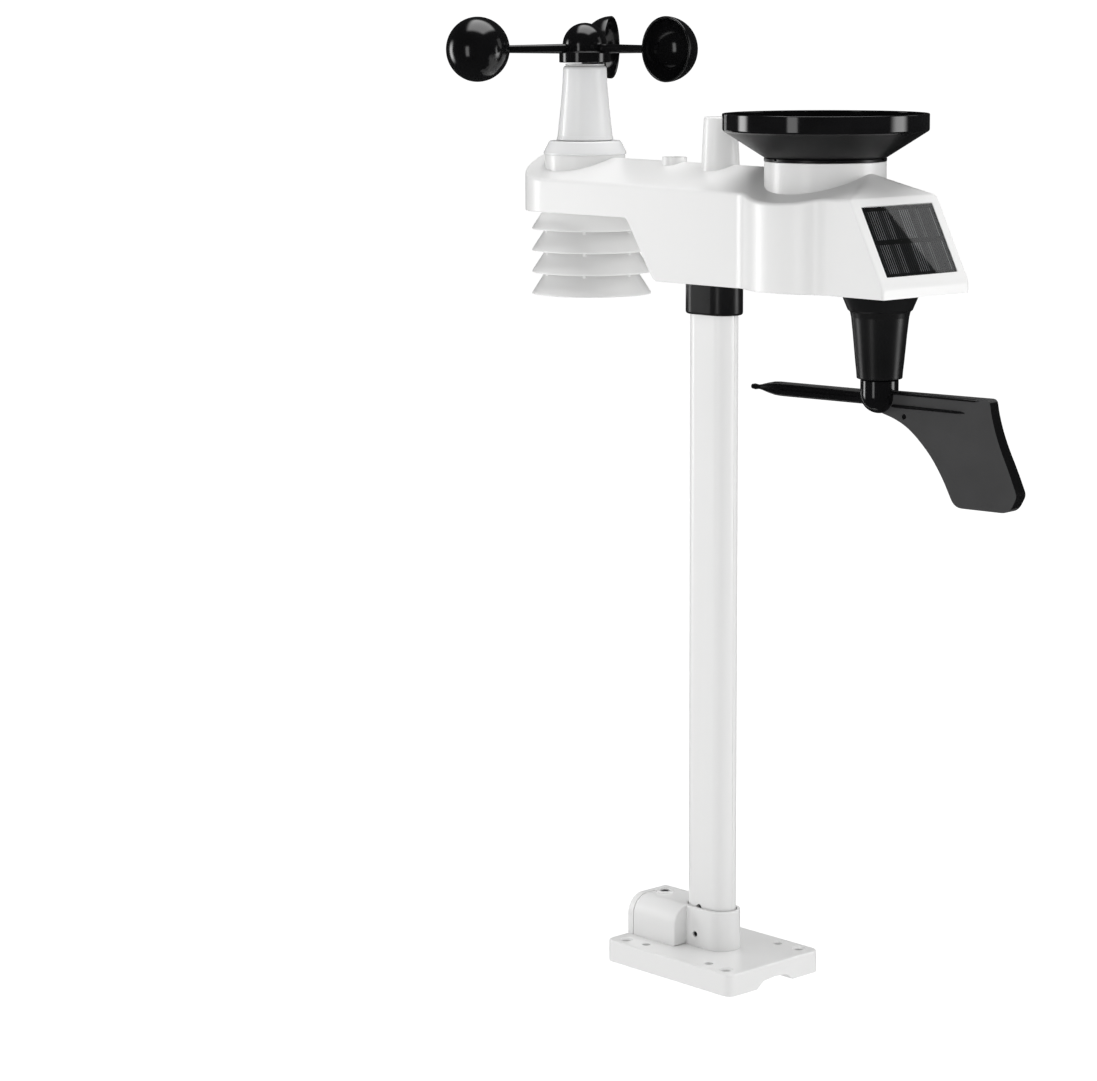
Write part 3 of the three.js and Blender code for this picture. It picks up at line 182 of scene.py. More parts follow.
def rounded(points, radius, closed=True, steps=5):
    """Rounds an outline's corners; a point may carry a radius of its own as a third value."""
    count = len(points)
    result = []
    for i, point in enumerate(points):
        here = Vector(point[:2])
        own = point[2] if len(point) > 2 else radius
        if own <= 0 or (not closed and i in (0, count - 1)):
            result.append(tuple(here))
            continue
        back = Vector(points[i - 1][:2]) - here
        ahead = Vector(points[(i + 1) % count][:2]) - here
        if back.length < 1e-9 or ahead.length < 1e-9:
            continue
        angle = back.angle(ahead)
        if angle > math.radians(176):
            result.append(tuple(here))
            continue
        reach = min(own / math.tan(angle / 2), 0.48 * back.length, 0.48 * ahead.length)
        start = here + back.normalized() * reach
        end = here + ahead.normalized() * reach
        for k in range(steps + 1):
            t = k / steps
            curve = start * (1 - t) ** 2 + here * 2 * t * (1 - t) + end * t ** 2
            result.append(tuple(curve))
    return result


def lathe(name, profile, x=0.0, y=0.0, facets=96):
    """Surface of revolution about an upright axis; profile points are (radius, z)."""
    bm = bmesh.new()
    open_ends = abs(profile[0][0]) < 1e-9 and abs(profile[-1][0]) < 1e-9
    rings = []
    for radius, z in profile:
        if radius < 1e-9:
            rings.append([bm.verts.new((x, y, z))])
            continue
        ring = []
        for k in range(facets):
            angle = 2 * math.pi * k / facets
            ring.append(bm.verts.new((x + radius * math.cos(angle), y + radius * math.sin(angle), z)))
        rings.append(ring)
    pairs = list(zip(rings, rings[1:]))
    if not open_ends:
        pairs.append((rings[-1], rings[0]))
    for low, high in pairs:
        for k in range(facets):
            n = (k + 1) % facets
            corners = [low[k % len(low)], low[n % len(low)], high[n % len(high)], high[k % len(high)]]
            face = list(dict.fromkeys(corners))
            if len(face) > 2:
                bm.faces.new(face)
    return new_object(name, bm)


def inset_outline(outline, depth):
    """Pulls a counter-clockwise outline inwards by a small depth."""
    count = len(outline)
    result = []
    for i in range(count):
        here = Vector(outline[i])
        before = (here - Vector(outline[i - 1])).normalized()
        after = (Vector(outline[(i + 1) % count]) - here).normalized()
        normal = Vector((-(before.y + after.y), before.x + after.x)).normalized()
        spread = max(0.35, math.sqrt(max(0.0, (1 + before.dot(after)) / 2)))
        result.append(tuple(here + normal * depth / spread))
    return result


def slab(name, outline, low, high, round_low=0.0, round_high=0.0, steps=4):
    """Prism over a counter-clockwise outline with rounded bottom and top edges."""
    levels = []
    for k in range(steps + 1):
        angle = math.pi / 2 * k / steps
        if round_low > 0 or k == steps:
            levels.append((low + round_low * (1 - math.sin(angle)), round_low * (1 - math.cos(angle))))
    levels = [(z, inset) for z, inset in reversed(levels)]
    for k in range(steps + 1):
        angle = math.pi / 2 * k / steps
        if round_high > 0 or k == 0:
            levels.append((high - round_high * (1 - math.sin(angle)), round_high * (1 - math.cos(angle))))
    bm = bmesh.new()
    rings = []
    for z, inset in levels:
        ring = inset_outline(outline, inset) if inset > 1e-6 else outline
        rings.append([bm.verts.new((px, py, z)) for px, py in ring])
    count = len(outline)
    for below, above in zip(rings, rings[1:]):
        for k in range(count):
            n = (k + 1) % count
            bm.faces.new([below[k], below[n], above[n], above[k]])
    bm.faces.new(list(reversed(rings[0])))
    bm.faces.new(rings[-1])
    return new_object(name, bm)


ALONG_X = Matrix(((0, 0, 1, 0), (1, 0, 0, 0), (0, 1, 0, 0), (0, 0, 0, 1)))
ALONG_Y = Matrix(((1, 0, 0, 0), (0, 0, -1, 0), (0, 1, 0, 0), (0, 0, 0, 1)))


def lengthways(obj):
    """Turns a slab's (x, y, z) into (y, z, x): its outline becomes a section across X."""
    return transform(obj, ALONG_X)


def sideways(obj):
    """Turns a slab's (x, y, z) into (x, -z, y): its outline becomes a side view."""
    return transform(obj, ALONG_Y)


def bake(obj):
    """Applies the object's modifiers."""
    bpy.context.view_layer.update()
    evaluated = obj.evaluated_get(bpy.context.evaluated_depsgraph_get())
    mesh = bpy.data.meshes.new_from_object(evaluated)
    obj.modifiers.clear()
    obj.data = mesh
    return obj


def combine(obj, tools, operation):
    for tool in tools:
        modifier = obj.modifiers.new("combine", "BOOLEAN")
        modifier.operation = operation
        modifier.solver = "MANIFOLD"
        modifier.object = tool
        bake(obj)
        bpy.data.objects.remove(tool)
    return obj


def cut(obj, *tools):
    return combine(obj, tools, "DIFFERENCE")


def join(obj, *tools):
    return combine(obj, tools, "UNION")


def shade(obj, angle=32):
    """Smooth shading that stays crisp over edges sharper than the angle."""
    bm = bmesh.new()
    bm.from_mesh(obj.data)
    bmesh.ops.remove_doubles(bm, verts=bm.verts, dist=2e-6)
    bmesh.ops.dissolve_degenerate(bm, edges=bm.edges, dist=1e-6)
    limit = math.radians(angle)
    for face in bm.faces:
        face.smooth = True
    for edge in bm.edges:
        edge.smooth = len(edge.link_faces) == 2 and edge.calc_face_angle(0) < limit
    bm.to_mesh(obj.data)
    bm.free()
    weighted = obj.modifiers.new("normals", "WEIGHTED_NORMAL")
    weighted.keep_sharp = True
    weighted.weight = 60
    return obj


def place(obj, body, material, slot, *replaced, angle=32):
    """Shades a finished piece, gives it its material and makes it ride on a body."""
    shade(obj, angle)
    obj.data.materials.clear()
    obj.data.materials.append(material)
    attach(obj, body)
    if replaced:
        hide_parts(*replaced)
    return obj


def oval(radius, flat=POLE_FLAT, steps=28):
    """Two half circles joined by a flat along X, counter-clockwise."""
    return arc(flat / 2, 0, radius, -90, 90, steps) + arc(-flat / 2, 0, radius, 90, 270, steps)


def box_tool(name, low, high):
    corners = [(low[0], low[1]), (high[0], low[1]), (high[0], high[1]), (low[0], high[1])]
    return slab(name, corners, low[2], high[2])


def rod_tool(name, radius, z0, z1, x=0.0, y=0.0, facets=32):
    return lathe(name, [(0, z0), (radius, z0), (radius, z1), (0, z1)], x, y, facets)


def cross_rod(name, radius, y0, y1, x, z, facets=32):
    """Round tool lying along Y."""
    rod = lathe(name, [(0, -y1), (radius, -y1), (radius, -y0), (0, -y0)], 0, 0, facets)
    return shifted(turned(rod, 90, "X"), x, 0, z)


# ---------------------------------------------------------------- materials
class Nodes:
    """Small wrapper that keeps the building of node trees short."""

    def __init__(self, name):
        self.material = bpy.data.materials.new(name)
        self.material.use_nodes = True
        self.tree = self.material.node_tree
        self.shader = self.tree.nodes["Principled BSDF"]
        self.coordinates = self.tree.nodes.new("ShaderNodeTexCoord").outputs["Object"]

    def link(self, source, target):
        self.tree.links.new(source, target)

    def noise(self, scale, detail=4.0, roughness=0.5, source=None):
        node = self.tree.nodes.new("ShaderNodeTexNoise")
        node.inputs["Scale"].default_value = scale
        node.inputs["Detail"].default_value = detail
        node.inputs["Roughness"].default_value = roughness
        self.link(source or self.coordinates, node.inputs["Vector"])
        return node.outputs["Fac"]

    def spread(self, source, low, high, from_low=0.3, from_high=0.7):
        """Maps a texture's middle range onto low..high."""
        node = self.tree.nodes.new("ShaderNodeMapRange")
        node.inputs["From Min"].default_value = from_low
        node.inputs["From Max"].default_value = from_high
        node.inputs["To Min"].default_value = low
        node.inputs["To Max"].default_value = high
        self.link(source, node.inputs["Value"])
        return node.outputs["Result"]

    def blend(self, factor, first, second):
        """Colour between two colours; each is a colour or a socket."""
        node = self.tree.nodes.new("ShaderNodeMix")
        node.data_type = "RGBA"
        self.link(factor, node.inputs["Factor"])
        for colour, socket in ((first, node.inputs["A"]), (second, node.inputs["B"])):
            if isinstance(colour, tuple):
                socket.default_value = (*colour, 1.0)
            else:
                self.link(colour, socket)
        return node.outputs["Result"]

    def math(self, operation, first, second=None):
        node = self.tree.nodes.new("ShaderNodeMath")
        node.operation = operation
        for value, socket in ((first, node.inputs[0]), (second, node.inputs[1])):
            if value is None:
                continue
            if isinstance(value, (int, float)):
                socket.default_value = value
            else:
                self.link(value, socket)
        return node.outputs[0]

    def split(self):
        node = self.tree.nodes.new("ShaderNodeSeparateXYZ")
        self.link(self.coordinates, node.inputs[0])
        return node.outputs

    def bump(self, height, strength, distance):
        node = self.tree.nodes.new("ShaderNodeBump")
        node.inputs["Strength"].default_value = strength
        node.inputs["Distance"].default_value = distance
        self.link(height, node.inputs["Height"])
        self.link(node.outputs["Normal"], self.shader.inputs["Normal"])

    def edges(self):
        """About 0.5 on flat areas, more on outer edges and less in corners."""
        return self.tree.nodes.new("ShaderNodeNewGeometry").outputs["Pointiness"]


def plastic(name, colour, tint, rough, grain=0.05, edge_wear_and_highlight=0.25, subsurface=0.0, uneven=0.12, shine=0.5):
    """Moulded plastic: fine grain, faint mottling, and slightly lighter edges, partly wear and partly a
    painted edge highlight.
    """
    n = Nodes(name)
    mottled = n.blend(n.spread(n.noise(38, 5), 0, 1), colour, tint)
    # Outer edges are lightened by pointiness: partly wear, partly a painted edge highlight where light
    # catches them.
    lighter = tuple(min(1.0, c * 1.12 + 0.012) for c in colour)
    worn_and_highlit_edges = n.spread(n.edges(), 0, edge_wear_and_highlight, 0.53, 0.62)
    n.link(n.blend(worn_and_highlit_edges, mottled, lighter), n.shader.inputs["Base Color"])
    gloss = n.spread(n.noise(60, 5, 0.6), rough * (1 - uneven), rough * (1 + uneven))
    n.link(gloss, n.shader.inputs["Roughness"])
    n.bump(n.noise(420, 3), grain, 0.00003)
    n.shader.inputs["Specular IOR Level"].default_value = shine
    if subsurface > 0:
        n.shader.inputs["Subsurface Weight"].default_value = subsurface
        n.shader.inputs["Subsurface Radius"].default_value = (0.004, 0.004, 0.0045)
        n.shader.inputs["Subsurface Scale"].default_value = 1.0
    return n.material


def metal(name, colour, rough, streak=700):
    """Turned metal with fine streaks and a little tarnish."""
    n = Nodes(name)
    x, y, z = n.split()
    stretched = n.tree.nodes.new("ShaderNodeCombineXYZ")
    n.link(x, stretched.inputs[0])
    n.link(y, stretched.inputs[1])
    n.link(n.math("MULTIPLY", z, 12.0), stretched.inputs[2])
    streaks = n.noise(streak, 3, 0.6, stretched.outputs[0])
    darker = tuple(c * 0.72 for c in colour)
    n.link(n.blend(n.spread(n.noise(160, 4), 0, 1), colour, darker), n.shader.inputs["Base Color"])
    n.link(n.spread(streaks, rough * 0.7, rough * 1.4), n.shader.inputs["Roughness"])
    n.shader.inputs["Metallic"].default_value = 1.0
    n.bump(streaks, 0.12, 0.00005)
    return n.material


def funnel_black():
    """Black plastic: a polished rim band above a satin cone."""
    n = Nodes("funnel_black")
    height = n.split()[2]
    polish = n.spread(height, 0, 1, 0.4849, 0.4863)
    satin = n.spread(n.noise(110, 5), 0.283, 0.297)
    inverse = n.math("SUBTRACT", 1.0, polish)
    rough = n.math("ADD", n.math("MULTIPLY", satin, inverse), n.math("MULTIPLY", polish, 0.07))
    n.link(rough, n.shader.inputs["Roughness"])
    n.link(n.blend(n.spread(n.noise(60, 4), 0, 1), (0.004, 0.004, 0.0043), (0.007, 0.007, 0.0075)),
           n.shader.inputs["Base Color"])
    n.link(n.spread(polish, 0.16, 0.5, 0, 1), n.shader.inputs["Specular IOR Level"])
    n.bump(n.noise(1800, 2), 0.04, 0.0001)
    return n.material


def solar_cells():
    """Dark silicon in two rows, with thin pale grid fingers of uneven spacing."""
    n = Nodes("solar_silicon")
    low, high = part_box("solar_cells")
    _, y, z = n.split()
    middle = (low[2] + high[2]) / 2
    half = (high[2] - low[2]) / 2
    from_middle = n.math("ABSOLUTE", n.math("SUBTRACT", z, middle))
    row = n.math("MULTIPLY", n.math("GREATER_THAN", from_middle, half * 0.07),
                 n.math("LESS_THAN", from_middle, half * 0.88))
    inside = n.math("LESS_THAN", n.math("ABSOLUTE", y), 0.0262)
    fine = n.math("FRACT", n.math("MULTIPLY", y, 606))
    finger = n.math("LESS_THAN", n.math("ABSOLUTE", n.math("SUBTRACT", fine, 0.5)), 0.11)
    group = n.math("SINE", n.math("MULTIPLY", y, 2 * math.pi * 81))
    other = n.math("SINE", n.math("MULTIPLY", y, 2 * math.pi * 43))
    present = n.spread(n.math("ADD", group, other), 0.12, 1.0, -0.3, 0.5)
    lines = n.math("MULTIPLY", n.math("MULTIPLY", finger, present), n.math("MULTIPLY", row, inside))
    wafer = n.blend(n.spread(n.noise(300, 5), 0, 1), (0.003, 0.0035, 0.004), (0.005, 0.0055, 0.007))
    cell = n.blend(n.math("MULTIPLY", row, inside), (0.002, 0.002, 0.0022), wafer)
    n.link(n.blend(lines, cell, (0.40, 0.40, 0.405)), n.shader.inputs["Base Color"])
    n.link(n.spread(n.noise(240, 4), 0.3, 0.4), n.shader.inputs["Roughness"])
    n.shader.inputs["Specular IOR Level"].default_value = 0.15
    n.bump(lines, 0.15, 0.00008)
    return n.material


def clear_plastic(name, tint=(0.97, 0.985, 0.99), rough=0.008):
    """Clear polished cover with the faintest waviness."""
    n = Nodes(name)
    n.link(n.blend(n.spread(n.noise(30, 3), 0, 1), tint, tuple(c * 0.985 for c in tint)),
           n.shader.inputs["Base Color"])
    n.link(n.spread(n.noise(90, 4), rough, rough * 1.6), n.shader.inputs["Roughness"])
    n.shader.inputs["Transmission Weight"].default_value = 1.0
    n.shader.inputs["IOR"].default_value = 1.47
    n.bump(n.noise(60, 2), 0.002, 0.0003)
    return n.material


def circuit_board():
    """Green solder mask over faint copper tracks."""
    n = Nodes("circuit_green")
    x, y, _ = n.split()
    tracks = n.math("LESS_THAN", n.math("FRACT", n.math("MULTIPLY", n.math("ADD", x, y), 420)), 0.35)
    patches = n.math("GREATER_THAN", n.noise(190, 1), 0.5)
    n.link(n.blend(n.math("MULTIPLY", tracks, patches), (0.008, 0.075, 0.028), (0.02, 0.14, 0.05)),
           n.shader.inputs["Base Color"])
    n.link(n.spread(n.noise(500, 3), 0.25, 0.4), n.shader.inputs["Roughness"])
    n.bump(tracks, 0.1, 0.00004)
    return n.material


def battery_wrap():
    """Plain cell wrapper with a copper-coloured end band."""
    n = Nodes("battery_wrap")
    y = n.split()[1]
    band = n.math("GREATER_THAN", n.math("ABSOLUTE", y), 0.017)
    n.link(n.blend(band, (0.012, 0.012, 0.014), (0.42, 0.23, 0.08)), n.shader.inputs["Base Color"])
    n.link(n.spread(n.noise(200, 4), 0.22, 0.36), n.shader.inputs["Roughness"])
    n.shader.inputs["Metallic"].default_value = 0.6
    n.bump(n.noise(900, 2), 0.03, 0.0001)
    return n.material


WHITE = plastic("white_shell", (0.81, 0.81, 0.806), (0.805, 0.805, 0.801), 0.28, grain=0.012, uneven=0.005)
SMOKE = plastic("smoke_shell", (0.77, 0.773, 0.777), (0.765, 0.768, 0.772), 0.25,
                grain=0.012, subsurface=0.2, uneven=0.005)
GLOSS = plastic("gloss_black", (0.0035, 0.0035, 0.0038), (0.005, 0.005, 0.0054), 0.13, grain=0.004, edge_wear_and_highlight=0.1)
SATIN = plastic("satin_black", (0.006, 0.006, 0.0064), (0.009, 0.009, 0.0095), 0.3, grain=0.05, edge_wear_and_highlight=0.12,
                shine=0.28)
FIN = plastic("fin_grey", (0.044, 0.044, 0.045), (0.050, 0.050, 0.051), 0.42, grain=0.08, edge_wear_and_highlight=0.1)
FUNNEL = funnel_black()
STEEL = metal("plain_steel", (0.56, 0.56, 0.57), 0.28)
DARK_STEEL = metal("blackened_steel", (0.035, 0.034, 0.034), 0.42)
MAGNET = metal("plated_magnet", (0.30, 0.30, 0.31), 0.3)
CELLS = solar_cells()
CLEAR = clear_plastic("clear_cover")
LIQUID = plastic("level_liquid", (0.42, 0.62, 0.12), (0.38, 0.58, 0.10), 0.12, grain=0.01)
BOARD = circuit_board()
BATTERY = battery_wrap()


# ---------------------------------------------------------------- housing
def smallest(first, second, blend):
    """Smooth minimum of two heights."""
    share = max(0.0, min(1.0, 0.5 + (second - first) / (2 * blend)))
    return second * (1 - share) + first * share - blend * share * (1 - share)


def step_profile(x, top_x, top_z, foot_x, foot_z, blend):
    """Height of the underside: high at the thin end, sloping down to the deep end."""
    slope = (foot_z - top_z) / (foot_x - top_x)
    slanted = top_z + (x - top_x) * slope
    lowered = smallest(top_z, slanted, blend)
    return -smallest(-lowered, -foot_z, blend)


class Housing:
    """The housing's outline, roof and underside, pulled in by an inset for its inner side."""

    def __init__(self, inset=0.0):
        self.inset = inset
        self.half = HALF_WIDTH - inset
        self.bulge = BULGE - inset
        self.fillet = BULGE_FILLET + inset
        self.rise = self.half + self.fillet
        self.run = math.sqrt((self.bulge + self.fillet) ** 2 - self.rise ** 2)
        self.touch = self.bulge / (self.bulge + self.fillet) * self.run
        self.end = END_X - inset
        self.edge = EAVE_ROUND if inset == 0 else 0.01

    def half_width(self, x):
        if x < CUP_X:
            return math.sqrt(max(0.0, self.half ** 2 - (x - CUP_X) ** 2))
        away = abs(x - RAIN_X)
        if away < self.touch:
            return math.sqrt(self.bulge ** 2 - away ** 2)
        if away < self.run:
            return self.rise - math.sqrt(self.fillet ** 2 - (self.run - away) ** 2)
        return self.half

    def end_height(self, x):
        """Height of the hip and of the slanted solar face."""
        back = 2 * self.inset if self.inset else 0.0
        lower = WALL if self.inset else 0.0
        hip_slope = (FACE_TOP[1] - HIP_TOP[1]) / (FACE_TOP[0] - HIP_TOP[0])
        face_slope = (FACE_FOOT[1] - FACE_TOP[1]) / (FACE_FOOT[0] - FACE_TOP[0])
        hip = HIP_TOP[1] + (x - HIP_TOP[0]) * hip_slope - lower
        face = FACE_TOP[1] + (x + back - FACE_TOP[0]) * face_slope
        return smallest(hip, face, 0.5)

    def roof(self, x, y):
        softened = math.sqrt(y ** 2 + 0.7 ** 2) - 0.7
        ridge = RIDGE_Z + 0.15 - (self.inset * 1.1 + 0.15 if self.inset else 0.0)
        ridge += (HIP_TOP[0] - x) * RIDGE_RISE
        return smallest(ridge - softened * ROOF_SLOPE, self.end_height(x), 0.7)

    def depth_from_side(self, x, y):
        """How far inside the outline a point lies."""
        if x < CUP_X:
            return self.half - math.hypot(x - CUP_X, y)
        if abs(x - RAIN_X) < self.touch:
            return self.bulge - math.hypot(x - RAIN_X, y)
        return self.half_width(x) - abs(y)

    def underside(self, x):
        if self.inset == 0:
            return step_profile(x, STEP_TOP_X, THIN_BOTTOM, STEP_BOTTOM_X, DEEP_BOTTOM, 3.4)
        if x > STEP_BOTTOM_X + 3.2:
            return DEEP_BOTTOM - 6
        return step_profile(x, STEP_TOP_X + 3, THIN_BOTTOM + WALL, STEP_BOTTOM_X + 3, DEEP_BOTTOM + 2, 0.1)

    def stations(self):
        """X positions of the sections, closer together where the shape changes quickly."""
        ends = [CUP_X - self.half * math.cos(math.radians(a)) for a in range(0, 90, 3)]
        last = self.end
        spans = [
            (CUP_X, -44, 24), (-44, -4, 90), (-4, 50, 14),
            (50, 112, 62), (112, 138, 60), (138, last - 1.6, 34),
        ]
        body = [a + (b - a) * i / n for a, b, n in spans for i in range(n)]
        body = [x for x in body if x < last - 1.55]
        tail = [last - 1.5 * (1 - math.sin(math.radians(a))) for a in range(0, 91, 15)]
        return ends + body + tail

    def section(self, x):
        """Closed loop of (y, z) points round the housing at one X, always the same count."""
        half = self.half_width(x)
        ahead = self.end - x
        pull = 0.0
        if self.inset == 0 and ahead < 1.5:
            pull = 1.5 - math.sqrt(max(0.0, 1.5 ** 2 - (1.5 - ahead) ** 2))
        half = max(half - pull, 0.001)
        floor = self.underside(x)
        edge = self.edge
        ramp = [0.0, 0.008, 0.02, 0.035, 0.055, 0.08, 0.12, 0.2, 0.3, 0.42, 0.54, 0.66, 0.78, 0.88, 0.95]
        across = [-1 + t for t in ramp] + [0.0] + [1 - t for t in reversed(ramp)]
        top = []
        for share in across:
            y = share * half
            inside = max(0.0, min(edge, self.depth_from_side(x, y) - pull))
            drop = edge - math.sqrt(max(0.0, edge ** 2 - (edge - inside) ** 2))
            top.append((y, max(self.roof(x, y) - drop - pull, floor + 0.6)))
        lip = 0.7 if self.inset == 0 else 0.01
        lip = min(lip, half * 0.5)
        under = [(half, floor + lip), (half - lip * 0.3, floor + lip * 0.3), (half - lip, floor)]
        mirrored = [(-y, z) for y, z in reversed(under)]
        return top + under + mirrored

    def build(self, name):
        bm = bmesh.new()
        rings = []
        for x in self.stations():
            rings.append([bm.verts.new((x, y, z)) for y, z in self.section(x)])
        count = len(rings[0])
        for left, right in zip(rings, rings[1:]):
            for k in range(count):
                n = (k + 1) % count
                bm.faces.new([left[k], left[n], right[n], right[k]])
        bm.faces.new(rings[0])
        bm.faces.new(list(reversed(rings[-1])))
        bmesh.ops.remove_doubles(bm, verts=bm.verts, dist=0.004)
        bmesh.ops.dissolve_degenerate(bm, edges=bm.edges, dist=0.003)
        bmesh.ops.triangulate(bm, faces=[f for f in bm.faces if len(f.verts) > 4])
        return new_object(name, bm)


def panel_matrix():
    """Frame of the solar panel: x runs down the slope, y across it and z out of the face; in metres."""
    lean = math.atan2(FACE_FOOT[0] - FACE_TOP[0], FACE_TOP[1] - FACE_FOOT[1])
    slope = Vector((math.sin(lean), 0, -math.cos(lean)))
    out = Vector((math.cos(lean), 0, math.sin(lean)))
    across = out.cross(slope)
    origin = (Vector((FACE_TOP[0], 0, FACE_TOP[1])) + slope * PANEL_DOWN_SLOPE) * MM
    return Matrix.Translation(origin) @ Matrix((slope, across, out)).transposed().to_4x4()


def face_block(name, width, height, depth0, depth1, corner=0.6):
    """Slab lying in the slanted end face, centred where the CAD panel is; depths go inwards."""
    half_w, half_h = width / 2, height / 2
    outline = rounded([(-half_h, -half_w), (half_h, -half_w), (half_h, half_w), (-half_h, half_w)], corner)
    return transform(slab(name, outline, -depth1, -depth0), panel_matrix())


def housing():
    shell = Housing().build("housing_shell_moulding")
    cavity = Housing(WALL).build("cavity")
    cut(shell, cavity)
    neck = lathe("neck", rounded([
        (30.7, 452), (30.7, 469.6), (33.2, 469.6), (33.2, 445), (29, 445), (29, 452, 0),
    ], 0.5), RAIN_X, facets=128)
    base = lathe("cup_base", rounded([(21.1, 455), (23.6, 455), (23.6, 467.5), (21.1, 467.5)], 0.4), CUP_X)
    antenna = lathe("antenna_post", [(0, 489.3), (7.2, 489.3), (7.2, 457), (11.25, 457)] + rounded([
        (10.85, 464), (9.3, ANTENNA_TOP), (0, ANTENNA_TOP),
    ], 1.4, closed=False), ANTENNA_X)
    level = lathe("level_cup", rounded([
        (0, 462.9), (7.1, 462.9), (7.1, 468.2), (5.9, 468.2), (5.9, 464.7), (0, 464.7),
    ], 0.35, closed=False), LEVEL_X, facets=64)
    cut(
        shell,
        rod_tool("neck_hole", 31.9, 440, 480, RAIN_X, facets=96),
        rod_tool("tower_hole", 22.4, 440, 480, CUP_X, facets=96),
        rod_tool("antenna_hole", 7.2, 440, 480, ANTENNA_X, facets=48),
        rod_tool("level_hole", 5.9, 464.7, 480, LEVEL_X, facets=48),
        face_block("panel_recess", PANEL_SIZE[0] + 0.6, PANEL_SIZE[1] + 0.6, -4, 2.4),
    )
    join(shell, neck, base, antenna, level)
    return place(shell, "station", WHITE, "white_plastic", "housing_shell", "antenna_post", angle=26)


def solar_panel():
    cells = face_block("solar_cell_board", *PANEL_SIZE, 1.1, 2.35, 0.4)
    place(cells, "station", CELLS, "solar_cell", "solar_cells")
    cover = face_block("solar_cover", *PANEL_SIZE, 0.2, 1.05, 0.6)
    place(cover, "station", CLEAR, "clear_cover", "solar_glass")


# ---------------------------------------------------------------- wind cups
def cup_tower():
    flange = lathe("tower_foot_ring", rounded([
        (7.8, 467.55), (24.3, 467.55), (24.3, 468.7), (21.3, 474.7), (20.6, 475.5), (7.8, 475.5),
    ], 0.5), CUP_X)
    place(flange, "station", SMOKE, "smoke_plastic", "tower_flange")
    tower = lathe("tower_body", rounded([
        (14.8, 475.8), (16.8, 475.8), (16.1, 478.5), (14.3, 495), (13.1, 509), (12.7, 519.2, 2.2),
        (7.8, 519.2), (7.8, 509.2), (10.9, 505.2),
    ], 0.8), CUP_X)
    place(tower, "station", SMOKE, "smoke_plastic", "tower")
    collar_profile = [(3, 519.25), (11.4, 519.25), (11.4, 520.2), (3, 520.2)]
    collar = lathe("tower_top_ring", rounded(collar_profile, 0.3), CUP_X)
    place(collar, "station", SMOKE, "smoke_plastic", "tower_collar")


def rotor():
    dome = arc(0, 531, 13, 0, 90, 22)[:-1]
    skirt = rounded([
        (2.1, 521), (15, 521), (15, 527.2), (12.5, 527.4), (12.6, 529.6),
    ], 0.6, closed=False)
    hub = lathe("rotor_cap", [(0, 533.1), (2.1, 533.1), *skirt, *dome, (0, 544)], CUP_X)
    place(hub, "rotor", GLOSS, "gloss_black", "rotor_hub")
    for i in range(3):
        place(wind_cup(i), "rotor", GLOSS, "gloss_black", f"wind_cup_{i + 1}", angle=40)


def wind_cup(index):
    """A half-sphere cup with a rim bead on a tapering arm, then turned to its place."""
    radius, wall, orbit = CUP_RADIUS, 1.2, CUP_ORBIT
    outer = arc(0, 0, radius, -90, -3, 30)[1:]
    bead = arc(radius - 0.62, -0.62, 0.62, 0, 180, 8)
    inner = arc(0, 0, radius - wall, -3, -90, 30)[:-1]
    cup = lathe("cup", [(0, -radius), *outer, *bead, *inner, (0, wall - radius)], facets=80)
    turned(cup, 90, "X")
    shifted(cup, orbit)
    reach = orbit - radius + 0.9
    arm = bar_along_x("arm", [(11.5, 2.95, 2.5), (16, 2.8, 2.3), (30, 2.55, 2.1), (reach, 2.3, 1.9)])
    shifted(arm, 0, 1.5)
    hub_room = rod_tool("hub_room", 12.7, -20, 20, facets=96)
    mouth = lathe("mouth", arc(0, 0, radius - wall - 0.02, -90, 90, 24), facets=64)
    flange_room = rod_tool("flange_room", 15.2, -20, -1.7, facets=96)
    cut(arm, hub_room, flange_room, shifted(mouth, orbit))
    join(cup, arm)
    cup.name = f"cup_and_arm_{index + 1}"
    return shifted(turned(cup, ROTOR_HEADING + 120 * index), CUP_X, 0, ROTOR_Z)


def bar_along_x(name, stations, points=28, power=2.6):
    """Bar with a soft-cornered section; each station is (x, half height, half width)."""
    bm = bmesh.new()
    rings = []
    for x, tall, wide in stations:
        ring = []
        for k in range(points):
            angle = 2 * math.pi * k / points
            c, s = math.cos(angle), math.sin(angle)
            y = wide * math.copysign(abs(c) ** (2 / power), c)
            z = tall * math.copysign(abs(s) ** (2 / power), s)
            ring.append(bm.verts.new((x, y, z)))
        rings.append(ring)
    for left, right in zip(rings, rings[1:]):
        for k in range(points):
            n = (k + 1) % points
            bm.faces.new([left[k], left[n], right[n], right[k]])
    bm.faces.new(rings[0])
    bm.faces.new(list(reversed(rings[-1])))
    return new_object(name, bm)


